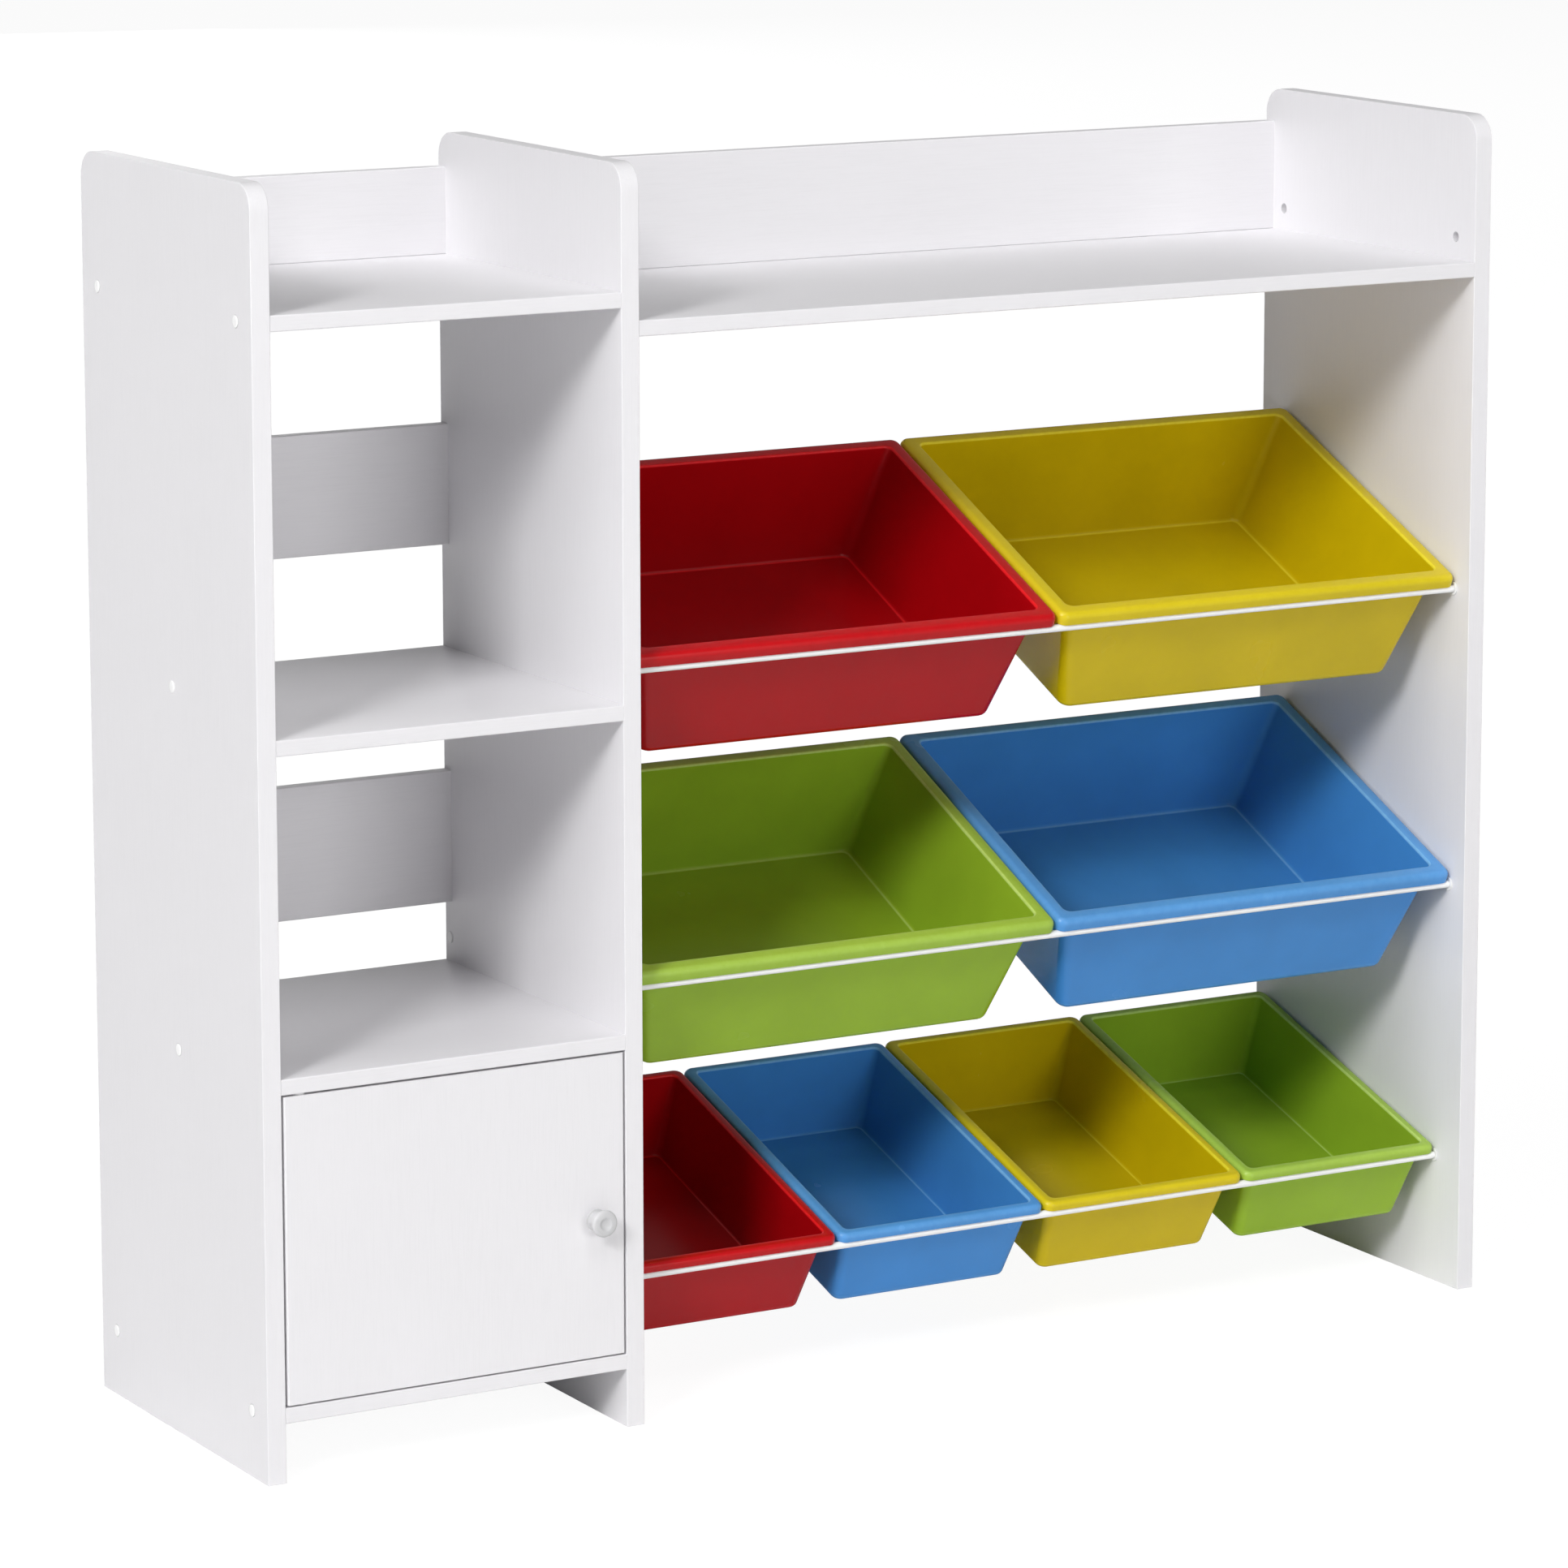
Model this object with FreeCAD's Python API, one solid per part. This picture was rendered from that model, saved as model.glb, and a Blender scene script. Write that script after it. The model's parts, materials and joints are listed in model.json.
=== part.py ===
import FreeCAD, Part
import math
import os

# Toy storage organizer: three upright panels carry a narrow shelf tower with
# a cabinet on the left, and a wide bay on the right in which sloping plastic
# bins hang on pairs of white steel rods below a tray shelf.
#
# Frame: millimetres, X to the right, front faces -Y, Z up. The origin is the
# centre of the outline on the floor.

Vector = FreeCAD.Vector

# ---------------------------------------------------------------- driving sizes

# Boards
PANEL_T = 15.0            # upright panels
BOARD_T = 12.0            # shelves, rails and back strips
LEFT_BAY = 285.0          # clear width of the shelf tower
RIGHT_BAY = 756.0         # clear width of the bin bay
DEPTH = 300.0             # front edge to rear edge of a panel
HEIGHT = 963.0            # floor to the top of a panel
PANEL_CORNER_R = 20.0     # top corners of a panel
EDGE_R = 1.0              # broken edge of a coated board

# Heights of the lower faces of the level boards
BOTTOM_BOARD_Z = 45.5
CABINET_TOP_Z = 294.0
MIDDLE_SHELF_Z = 546.0
RIGHT_TRAY_Z = 834.0
LEFT_TRAY_Z = 856.0

# Lower and upper edges of the boards that stand along the rear
RAIL_TOP_Z = 936.0
LOWER_STRIP_Z = (354.5, 460.0)
UPPER_STRIP_Z = (640.0, 735.0)

# Rods and the cups that hold their ends
ROD_R = 3.0
ROD_SEAT = 8.0            # depth of a rod end inside a panel
CUP_R = 4.0
CUP_FLANGE_R = 5.5
CUP_FLANGE_T = 1.2

# Bins: sizes square to the sloping rim
BIN_GAP = 1.5             # between two rims, and between a rim and a panel
BIN_WALL = 2.2
RIM_T = 2.5               # flat inner part of the rim
LIP_T = 2.2               # turned-down outer part of the rim
RIM_CORNER_R = 8.0
MOUTH_R = 1.4             # rounding of the inner edge of the rim
ROD_INSET = 3.0           # rod centre behind the front of the rim
ROD_PLAY = 0.3            # between a rod and the lips that rest on it
STOP_H = 2.2              # side lips below the rods' tops, as stops between the rods

LARGE_BIN = {
    "count": 2,
    "length": 274.0,
    "depth": 99.0,
    "slope_deg": 23.5,
    "front_y": 13.5,      # front line of the rim behind the panel fronts
    "lip_h": 10.0,        # height of the front lip
    "roll_r": 5.0,        # roll from the top of the rim into the lip
    "top_inset": 10.3,
    "bottom_inset_side": 33.0,
    "bottom_inset_front": 13.7,
    "bottom_inset_rear": 18.8,
    "top_r": 10.0,
    "bottom_r": 14.0,
}
SMALL_BIN = {
    "count": 4,
    "length": 270.0,
    "depth": 72.0,
    "slope_deg": 17.3,
    "front_y": 30.0,
    "lip_h": 7.0,
    "roll_r": 4.0,
    "top_inset": 6.3,
    "bottom_inset_side": 15.5,
    "bottom_inset_front": 16.0,
    "bottom_inset_rear": 15.0,
    "top_r": 9.0,
    "bottom_r": 11.0,
}

# Height of the front line of the rims, and the bins of a tier from left to right
TIERS = {
    "top": (590.5, LARGE_BIN, ("red_large_bin", "yellow_large_bin")),
    "middle": (347.0, LARGE_BIN, ("green_large_bin", "blue_large_bin")),
    "bottom": (115.0, SMALL_BIN, ("red_small_bin", "blue_small_bin",
                                  "yellow_small_bin", "green_small_bin")),
}

# Cabinet door, inset between the panels
DOOR_T = 15.0
DOOR_GAP = 1.5
DOOR_HINGE_GAP = 2.0
DOOR_EDGE_R = 1.5
HINGE_INSET = 14.0        # hinge line from the left edge of the door
PIN_R = 2.5
PIN_IN_BOARD = 9.0
PIN_IN_DOOR = 8.5
BUSH_R = 4.0
BUSH_LENGTH = 10.0
BUSH_PLAY = 0.05          # running clearance on the radius
BUSH_COLLAR_R = 5.5
BUSH_COLLAR_T = 1.2
BACK_BOARD_T = 3.0
BACK_BOARD_GROOVE = 4.0
BACK_BOARD_INSET = 12.0   # rear face of the back board from the rear edges

# Knob
KNOB_R = 10.5
KNOB_NECK_R = 7.0
KNOB_REACH = 16.0
KNOB_FROM_EDGE = 24.0
KNOB_Z = 166.0
KNOB_SCREW_R = 2.0

# Magnetic catch
CATCH_LENGTH = 32.0
CATCH_DEPTH = 18.0
CATCH_H = 13.0
CATCH_FROM_EDGE = 44.0
STRIKE_T = 1.2
STRIKE_H = 14.0
STRIKE_GAP = 0.3

# Fittings
SCREW_HEAD_R = 5.0
SCREW_SHANK_R = 3.5
SCREW_THREAD_R = 2.6
SCREW_IN_BOARD = 32.0
CAP_R = 4.75
CAP_H = 0.9
DOWEL_R = 3.0
DOWEL_IN_BOARD = 17.0
CAM_R = 7.5
CAM_DEPTH = 9.5
CAM_INSET = 24.0          # cam centre from the end of its board
CAM_BOLT_R = 3.0
IN_PANEL = 7.0            # depth of dowels and cam bolts inside a panel
SPARE_HOLE_R = 4.0

# ------------------------------------------------------------- derived places

WIDTH = 3 * PANEL_T + LEFT_BAY + RIGHT_BAY
FRONT = (KNOB_REACH - DEPTH) / 2
REAR = FRONT + DEPTH
LEFT_OUT = -WIDTH / 2
LEFT_IN = LEFT_OUT + PANEL_T
DIVIDER_LEFT = LEFT_IN + LEFT_BAY
DIVIDER_RIGHT = DIVIDER_LEFT + PANEL_T
RIGHT_IN = DIVIDER_RIGHT + RIGHT_BAY
RIGHT_OUT = RIGHT_IN + PANEL_T

STRIP_Y = REAR - BOARD_T / 2          # middle plane of the rear boards
PAIR_Y = (FRONT + 26.5, FRONT + 272.5)
SHELF_SCREW_Y = FRONT + 147.5
CAM_Y = (FRONT + 60.0, FRONT + 240.0)
DOWEL_Y = (FRONT + 100.0, FRONT + 200.0)
SHELF_DOWEL_Y = (FRONT + 45.0, FRONT + 250.0)
MIDDLE_DOWEL_Y = FRONT + 150.0
STRIP_DOWEL_MARGIN = 16.0             # dowels from the long edges of a rear board

SPARE_SHELF_HOLE = (FRONT + 148.5, 576.0)
SPARE_STRIP_HOLE = (FRONT + 292.0, 325.0)
SPARE_TRAY_Z = 864.0
SPARE_HOLE_DEPTH = 10.0

DOOR_X = (LEFT_IN + DOOR_HINGE_GAP, DIVIDER_LEFT - DOOR_GAP)
DOOR_Z = (BOTTOM_BOARD_Z + BOARD_T + DOOR_GAP, CABINET_TOP_Z - DOOR_GAP)
DOOR_REAR = FRONT + DOOR_T
HINGE_X = DOOR_X[0] + HINGE_INSET
HINGE_Y = FRONT + DOOR_T / 2

UP = Vector(0, 0, 1)


# ------------------------------------------------------------------- helpers

def box(x, y, z):
    """Block between two values on each axis."""
    corner = Vector(x[0], y[0], z[0])
    return Part.makeBox(x[1] - x[0], y[1] - y[0], z[1] - z[0], corner)


def outline(points):
    """Flat face inside a closed polygon."""
    return Part.Face(Part.makePolygon(points + points[:1]))


def turned(profile):
    """Solid turned about Z from (radius, height) points."""
    points = [Vector(r, 0, z) for r, z in profile]
    return outline(points).revolve(Vector(0, 0, 0), UP, 360)


def aimed(shape, direction, x, y, z):
    """Copy of a shape built along +Z, turned to a direction and placed."""
    copy = shape.copy()
    rotation = FreeCAD.Rotation(UP, direction)
    copy.Placement = FreeCAD.Placement(Vector(x, y, z), rotation)
    return copy


def drilled(shape, tools):
    """Shape with every tool cut out of it."""
    return shape.cut(Part.makeCompound(tools)) if tools else shape


def edges_where(shape, test):
    """Edges whose bounding box passes a test."""
    return [edge for edge in shape.Edges if test(edge.BoundBox)]


def rounded_rectangle(x, y, radius, z):
    """Closed wire of a rectangle with quarter-round corners at one height."""
    centres = (
        (x[1] - radius, y[0] + radius, 270),
        (x[1] - radius, y[1] - radius, 0),
        (x[0] + radius, y[1] - radius, 90),
        (x[0] + radius, y[0] + radius, 180),
    )
    arcs = []
    for cx, cy, start in centres:
        arc = Part.makeCircle(radius, Vector(cx, cy, z), UP, start, start + 90)
        arcs.append(arc)
    edges = []
    for arc, following in zip(arcs, arcs[1:] + arcs[:1]):
        edges.append(arc)
        edges.append(Part.makeLine(arc.Vertexes[-1].Point, following.Vertexes[0].Point))
    return Part.Wire(edges)


def slab(x, y, radius, z):
    """Flat plate with rounded corners between two heights."""
    face = Part.Face(rounded_rectangle(x, y, radius, z[0]))
    return face.extrude(Vector(0, 0, z[1] - z[0]))


# -------------------------------------------------------------------- boards

def panel(left):
    """Upright panel whose two top corners are rounded and whose edges are broken."""
    arcs = []
    for cy, start in ((REAR - PANEL_CORNER_R, 0), (FRONT + PANEL_CORNER_R, 90)):
        centre = Vector(cy, HEIGHT - PANEL_CORNER_R, 0)
        arcs.append(Part.makeCircle(PANEL_CORNER_R, centre, UP, start, start + 90))
    foot_front = Vector(FRONT, 0, 0)
    foot_rear = Vector(REAR, 0, 0)
    edges = [
        Part.makeLine(foot_front, foot_rear),
        Part.makeLine(foot_rear, arcs[0].Vertexes[0].Point),
        arcs[0],
        Part.makeLine(arcs[0].Vertexes[-1].Point, arcs[1].Vertexes[0].Point),
        arcs[1],
        Part.makeLine(arcs[1].Vertexes[-1].Point, foot_front),
    ]
    solid = Part.Face(Part.Wire(edges)).extrude(Vector(0, 0, PANEL_T))
    # The sketch plane (across, up) is stood upright so that it lies in Y and Z.
    solid.rotate(Vector(0, 0, 0), Vector(1, 1, 1), 120)
    solid.translate(Vector(left, 0, 0))
    rim = edges_where(solid, lambda b: b.XLength < 0.1 and b.ZMax > EDGE_R)
    return solid.makeFillet(EDGE_R, rim)


def level_board(x, z):
    """Full-depth shelf with its two long front edges broken."""
    solid = box(x, (FRONT, REAR), (z, z + BOARD_T))
    front = edges_where(solid, lambda b: b.YMax < FRONT + 0.1 and b.XLength > 1)
    return solid.makeFillet(EDGE_R, front)


def rear_board(x, z):
    """Board standing on edge along the rear, its long edges broken."""
    solid = box(x, (REAR - BOARD_T, REAR), z)
    long_edges = edges_where(solid, lambda b: b.XLength > 1)
    return solid.makeFillet(EDGE_R, long_edges)


# ------------------------------------------------------------------ fittings

def assembly_screw():
    """Countersunk screw from the outer face of a panel into the end of a board."""
    tip = PANEL_T + SCREW_IN_BOARD
    return turned([
        (0, 0), (SCREW_HEAD_R, 0), (SCREW_SHANK_R, 3), (SCREW_SHANK_R, PANEL_T),
        (SCREW_THREAD_R, PANEL_T + 1), (SCREW_THREAD_R, tip - 3), (0, tip),
    ])


def cover_cap():
    """Low domed cap pressed over a screw head or a spare hole."""
    return turned([(0, 0), (CAP_R, 0), (CAP_R, CAP_H / 3), (CAP_R - 1.2, CAP_H), (0, CAP_H)])


def dowel():
    """Dowel with bevelled ends; height 0 is the end of the board."""
    tip = DOWEL_R - 0.8
    return turned([
        (0, -IN_PANEL), (tip, -IN_PANEL), (DOWEL_R, 1 - IN_PANEL),
        (DOWEL_R, DOWEL_IN_BOARD - 1), (tip, DOWEL_IN_BOARD), (0, DOWEL_IN_BOARD),
    ])


def cam_bolt():
    """Bolt from a panel to the middle of its cam; height 0 is the board end."""
    neck = CAM_BOLT_R - 1
    head = CAM_INSET - 4
    return turned([
        (0, -IN_PANEL), (CAM_BOLT_R, -IN_PANEL), (CAM_BOLT_R, 0), (neck, 0),
        (neck, head), (CAM_BOLT_R, head), (CAM_BOLT_R, CAM_INSET), (0, CAM_INSET),
    ])


def cam_disc():
    """Round cam let into a board face, with a driver slot; height 0 is the face."""
    disc = Part.makeCylinder(CAM_R, CAM_DEPTH, Vector(0, 0, -CAM_DEPTH))
    slot = box((-CAM_R + 2, CAM_R - 2), (-1, 1), (-1.5, 1))
    return disc.cut(slot)


class Fittings:
    """Collects the fasteners, and the holes that they need in each board."""

    def __init__(self):
        self.screws = []
        self.caps = []
        self.dowels = []
        self.bolts = []
        self.cams = []
        self.pockets = []

    def add_screw(self, face_x, inward, y, z):
        """Screw and cap at the outer face of a panel; inward is +1 or -1."""
        self.screws.append(aimed(assembly_screw(), Vector(inward, 0, 0), face_x, y, z))
        self.add_cap(face_x, -inward, y, z)

    def add_cap(self, face_x, outward, y, z):
        """Cap on the face of a panel."""
        self.caps.append(aimed(cover_cap(), Vector(outward, 0, 0), face_x, y, z))

    def add_dowel(self, end_x, inward, y, z):
        """Dowel between a panel and the board end that meets it."""
        self.dowels.append(aimed(dowel(), Vector(inward, 0, 0), end_x, y, z))

    def add_cam(self, end_x, inward, y, z, face):
        """Cam and bolt; face is the direction in which the cam's slot looks."""
        way = Vector(inward, 0, 0)
        bolt = aimed(cam_bolt(), way, end_x, y, z)
        centre = Vector(end_x + inward * CAM_INSET, y, z) + face * (BOARD_T / 2)
        disc = aimed(cam_disc(), face, centre.x, centre.y, centre.z)
        self.bolts.append(bolt)
        self.cams.append(disc.cut(bolt))
        bore = Part.makeCylinder(CAM_BOLT_R, CAM_INSET + IN_PANEL)
        self.pockets.append(aimed(bore, way, end_x - inward * IN_PANEL, y, z))
        pocket = Part.makeCylinder(CAM_R, CAM_DEPTH, Vector(0, 0, -CAM_DEPTH))
        self.pockets.append(aimed(pocket, face, centre.x, centre.y, centre.z))

    def tools(self):
        """Every solid that a board or panel is drilled for."""
        return self.screws + self.dowels + self.pockets


def add_level_fittings(fittings):
    """Fasteners of the level boards."""
    down = Vector(0, 0, -1)
    left_ends = ((LEFT_IN, 1, LEFT_OUT), (DIVIDER_LEFT, -1, DIVIDER_RIGHT))
    for end, inward, outer_face in left_ends:
        for z in (LEFT_TRAY_Z, BOTTOM_BOARD_Z):
            for y in PAIR_Y:
                fittings.add_screw(outer_face, inward, y, z + BOARD_T / 2)
            fittings.add_dowel(end, inward, MIDDLE_DOWEL_Y, z + BOARD_T / 2)
        cabinet_z = CABINET_TOP_Z + BOARD_T / 2
        fittings.add_screw(outer_face, inward, SHELF_SCREW_Y, cabinet_z)
        for y in SHELF_DOWEL_Y:
            fittings.add_dowel(end, inward, y, cabinet_z)
        shelf_z = MIDDLE_SHELF_Z + BOARD_T / 2
        for y in CAM_Y:
            fittings.add_cam(end, inward, y, shelf_z, down)
        for y in DOWEL_Y:
            fittings.add_dowel(end, inward, y, shelf_z)
    tray_z = RIGHT_TRAY_Z + BOARD_T / 2
    for y in PAIR_Y:
        fittings.add_screw(RIGHT_OUT, -1, y, tray_z)
    for y in CAM_Y:
        fittings.add_cam(DIVIDER_RIGHT, 1, y, tray_z, down)
    for end, inward in ((DIVIDER_RIGHT, 1), (RIGHT_IN, -1)):
        fittings.add_dowel(end, inward, MIDDLE_DOWEL_Y, tray_z)


def add_rear_fittings(fittings, x, z):
    """Cams and dowels at both ends of a rear board."""
    for end, inward in ((x[0], 1), (x[1], -1)):
        fittings.add_cam(end, inward, STRIP_Y, (z[0] + z[1]) / 2, Vector(0, 1, 0))
        for height in (z[0] + STRIP_DOWEL_MARGIN, z[1] - STRIP_DOWEL_MARGIN):
            fittings.add_dowel(end, inward, STRIP_Y, height)


# ---------------------------------------------------------------- rods, bins

def rod_places(front_z, bin_sizes):
    """Y and Z of the front and rear rod of a tier, below the lips they carry."""
    slope = math.radians(bin_sizes["slope_deg"])
    drop = bin_sizes["lip_h"] + ROD_PLAY + ROD_R
    places = {}
    for name, along in (("front", ROD_INSET), ("rear", bin_sizes["length"] - ROD_INSET)):
        y = FRONT + bin_sizes["front_y"] + along * math.cos(slope) + drop * math.sin(slope)
        z = front_z + along * math.sin(slope) - drop * math.cos(slope)
        places[name] = (y, z)
    return places


def rod(y, z):
    """White rod across the bin bay with its ends inside the panels."""
    length = RIGHT_BAY + 2 * ROD_SEAT
    bar = Part.makeCylinder(ROD_R, length)
    return aimed(bar, Vector(1, 0, 0), DIVIDER_RIGHT - ROD_SEAT, y, z)


def end_cup():
    """Flanged sleeve round a rod end; height 0 is the panel face, +Z leaves it."""
    return turned([
        (ROD_R, -ROD_SEAT), (CUP_R, -ROD_SEAT), (CUP_R, 0), (CUP_FLANGE_R, 0),
        (CUP_FLANGE_R, CUP_FLANGE_T / 2), (CUP_FLANGE_R - 0.6, CUP_FLANGE_T),
        (ROD_R, CUP_FLANGE_T),
    ])


def drafted_tub(width, sizes, thickness, over):
    """Tapered block of the tub, drawn in by a wall thickness; over is its extra height."""
    top = sizes["top_inset"] + thickness
    side = sizes["bottom_inset_side"] + thickness
    front = sizes["bottom_inset_front"] + thickness
    rear = sizes["bottom_inset_rear"] + thickness
    length = sizes["length"]
    floor = -sizes["depth"] + thickness
    upper = rounded_rectangle((top, width - top), (top, length - top),
                              sizes["top_r"] - thickness, 0)
    lower = rounded_rectangle((side, width - side), (front, length - rear),
                              sizes["bottom_r"] - thickness, floor)
    block = Part.makeLoft([upper, lower], True, True)
    bottom_loop = edges_where(block, lambda b: b.ZMax < floor + 0.1)
    block = block.makeFillet(sizes["bottom_r"] / 2 - thickness, bottom_loop)
    if over:
        lid = slab((top, width - top), (top, length - top), sizes["top_r"] - thickness, (0, over))
        block = block.fuse(lid)
    return block


def moulded_bin(width, sizes):
    """Bin with drafted walls and a rolled rim whose lips stand on the rods.

    Built level, with the front left corner of its rim at the origin. The side
    lips go deeper between the rods, so the bin can't slide down its slope.
    """
    length = sizes["length"]
    roll = sizes["roll_r"]
    foot = -sizes["lip_h"] - STOP_H
    rim = slab((0, width), (0, length), RIM_CORNER_R, (foot, 0))
    rim = rim.makeFillet(roll, edges_where(rim, lambda b: b.ZMin > -0.1))
    hollow = slab((LIP_T, width - LIP_T), (LIP_T, length - LIP_T),
                  RIM_CORNER_R - LIP_T, (foot - 1, -RIM_T))
    ceiling = edges_where(hollow, lambda b: b.ZMin > -RIM_T - 0.1)
    rim = rim.cut(hollow.makeFillet(roll - RIM_T, ceiling))
    reach = ROD_INSET + ROD_R + ROD_PLAY
    for along in ((-1, reach), (length - reach, length + 1)):
        rim = rim.cut(box((-1, width + 1), along, (foot - 1, -sizes["lip_h"])))
    shell = rim.fuse(drafted_tub(width, sizes, 0, 0))
    shell = shell.cut(drafted_tub(width, sizes, BIN_WALL, 1)).removeSplitter()
    inset = sizes["top_inset"] + BIN_WALL - 0.1
    mouth = edges_where(shell, lambda b: b.ZMin > -0.1 and min(b.XMin, b.YMin) > inset)
    return shell.makeFillet(MOUTH_R, mouth)


def bins_of_tier(front_z, sizes, names):
    """Named bins of a tier, turned to its slope and set side by side."""
    count = sizes["count"]
    width = (RIGHT_BAY - (count + 1) * BIN_GAP) / count
    level = moulded_bin(width, sizes)
    level.rotate(Vector(0, 0, 0), Vector(1, 0, 0), sizes["slope_deg"])
    result = {}
    for index, name in enumerate(names):
        left = DIVIDER_RIGHT + BIN_GAP + index * (width + BIN_GAP)
        shape = level.copy()
        shape.translate(Vector(left, FRONT + sizes["front_y"], front_z))
        result[name] = shape
    return result


# ---------------------------------------------------------------------- door

def pivot_pins():
    """Pins on which the door turns: from the shelf above and the board below."""
    length = PIN_IN_BOARD + DOOR_GAP + PIN_IN_DOOR
    shank = Part.makeCylinder(PIN_R, length)
    top = aimed(shank, UP, HINGE_X, HINGE_Y, DOOR_Z[1] - PIN_IN_DOOR)
    bottom = aimed(shank, UP, HINGE_X, HINGE_Y, DOOR_Z[0] + PIN_IN_DOOR - length)
    return [top, bottom]


def pivot_bushes():
    """Collared bushes in the top and bottom edges of the door."""
    bore = PIN_R + BUSH_PLAY
    bush = turned([
        (bore, -BUSH_LENGTH), (BUSH_R, -BUSH_LENGTH), (BUSH_R, 0), (BUSH_COLLAR_R, 0),
        (BUSH_COLLAR_R, BUSH_COLLAR_T), (bore, BUSH_COLLAR_T),
    ])
    top = aimed(bush, UP, HINGE_X, HINGE_Y, DOOR_Z[1])
    bottom = aimed(bush, Vector(0, 0, -1), HINGE_X, HINGE_Y, DOOR_Z[0])
    return [top, bottom]


def door_knob(x, screw):
    """Turned knob with a slim neck and a rounded face."""
    grip = KNOB_REACH - 6.5
    knob = turned([
        (0, 0), (KNOB_NECK_R + 1.5, 0), (KNOB_NECK_R, 2), (KNOB_NECK_R, grip - 2.5),
        (KNOB_R - 0.8, grip), (KNOB_R, grip + 1.5), (KNOB_R, KNOB_REACH - 2.6),
        (KNOB_R - 0.8, KNOB_REACH - 1.1), (KNOB_R - 3, KNOB_REACH), (0, KNOB_REACH),
    ])
    return aimed(knob, Vector(0, -1, 0), x, FRONT, KNOB_Z).cut(screw)


def knob_screw(x):
    """Pan-head screw through the door into the knob; height 0 is the door's rear face."""
    reach = DOOR_T + 10
    screw = turned([
        (0, -reach), (KNOB_SCREW_R, -reach), (KNOB_SCREW_R, 0), (4.2, 0), (4.2, 1.2),
        (3, 2.4), (0, 2.4),
    ])
    return aimed(screw, Vector(0, 1, 0), x, DOOR_REAR, KNOB_Z)


def small_screw(y, z, x, direction):
    """Countersunk screw of the catch; direction is the way its tip points."""
    screw = turned([(0, 0), (3, 0), (1.6, 1.2), (1.6, 8), (0, 10)])
    return aimed(screw, direction, x, y, z)


def catch_body(x, y):
    """Magnetic catch under the cabinet's top: case with two screw ears."""
    middle = (x[0] + 8, x[1] - 8)
    top = CABINET_TOP_Z
    case = box(middle, y, (top - CATCH_H, top))
    corners = edges_where(case, lambda b: b.YLength > 1 and b.ZMax < top - 1)
    case = case.makeFillet(2, corners)
    ears = box(x, (y[0] + 3, y[1] - 3), (top - 3, top))
    return case.fuse(ears).removeSplitter()


# ---------------------------------------------------------------- the object

fittings = Fittings()
add_level_fittings(fittings)
left_span = (LEFT_IN, DIVIDER_LEFT)
right_span = (DIVIDER_RIGHT, RIGHT_IN)
rear_boards = {
    "left_tray_rail": (left_span, (LEFT_TRAY_Z + BOARD_T, RAIL_TOP_Z)),
    "right_tray_rail": (right_span, (RIGHT_TRAY_Z + BOARD_T, RAIL_TOP_Z)),
    "upper_back_strip": (left_span, UPPER_STRIP_Z),
    "lower_back_strip": (left_span, LOWER_STRIP_Z),
}
for span, heights in rear_boards.values():
    add_rear_fittings(fittings, span, heights)
fittings.add_cap(LEFT_OUT, -1, *SPARE_SHELF_HOLE)
fittings.add_cap(DIVIDER_LEFT, -1, *SPARE_STRIP_HOLE)

pieces = {}
cups = []
for tier, (front_z, sizes, names) in TIERS.items():
    for place, (y, z) in rod_places(front_z, sizes).items():
        pieces[f"{place}_rod_{tier}_tier"] = rod(y, z)
        cups.append(aimed(end_cup(), Vector(1, 0, 0), DIVIDER_RIGHT, y, z))
        cups.append(aimed(end_cup(), Vector(-1, 0, 0), RIGHT_IN, y, z))
    pieces.update(bins_of_tier(front_z, sizes, names))

pins = pivot_pins()
bushes = pivot_bushes()
knob_x = DOOR_X[1] - KNOB_FROM_EDGE
handle_screw = knob_screw(knob_x)

catch_x = (DOOR_X[1] - CATCH_FROM_EDGE - CATCH_LENGTH, DOOR_X[1] - CATCH_FROM_EDGE)
catch_y = (DOOR_REAR + STRIKE_T + STRIKE_GAP, DOOR_REAR + STRIKE_T + STRIKE_GAP + CATCH_DEPTH)
catch_mid_y = (catch_y[0] + catch_y[1]) / 2
catch_screws = [small_screw(catch_mid_y, CABINET_TOP_Z - 3, x, UP)
                for x in (catch_x[0] + 4, catch_x[1] - 4)]
strike_x = (catch_x[0] + 8, catch_x[1] - 8)
strike_z = (CABINET_TOP_Z - STRIKE_H - 3, CABINET_TOP_Z - 3)
strike_screw = small_screw(DOOR_REAR + STRIKE_T, sum(strike_z) / 2,
                           sum(strike_x) / 2, Vector(0, -1, 0))

back_x = (LEFT_IN - BACK_BOARD_GROOVE, DIVIDER_LEFT + BACK_BOARD_GROOVE)
back_y = (REAR - BACK_BOARD_INSET - BACK_BOARD_T, REAR - BACK_BOARD_INSET)
back_z = (BOTTOM_BOARD_Z + BOARD_T - BACK_BOARD_GROOVE, CABINET_TOP_Z + BACK_BOARD_GROOVE)
back_board = box(back_x, back_y, back_z)

# Panels, drilled for their fittings, rods and spare holes
rod_seats = [aimed(Part.makeCylinder(CUP_R, ROD_SEAT), Vector(-1, 0, 0), DIVIDER_RIGHT, y, z)
             for front_z, sizes, _ in TIERS.values()
             for y, z in rod_places(front_z, sizes).values()]
far_seats = [aimed(Part.makeCylinder(CUP_R, ROD_SEAT), Vector(1, 0, 0), RIGHT_IN, y, z)
             for front_z, sizes, _ in TIERS.values()
             for y, z in rod_places(front_z, sizes).values()]
blind_hole = Part.makeCylinder(DOWEL_R, SPARE_HOLE_DEPTH)
spare_shelf = aimed(blind_hole, Vector(1, 0, 0), LEFT_OUT, *SPARE_SHELF_HOLE)
spare_strip = aimed(blind_hole, Vector(1, 0, 0), DIVIDER_LEFT, *SPARE_STRIP_HOLE)
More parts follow.
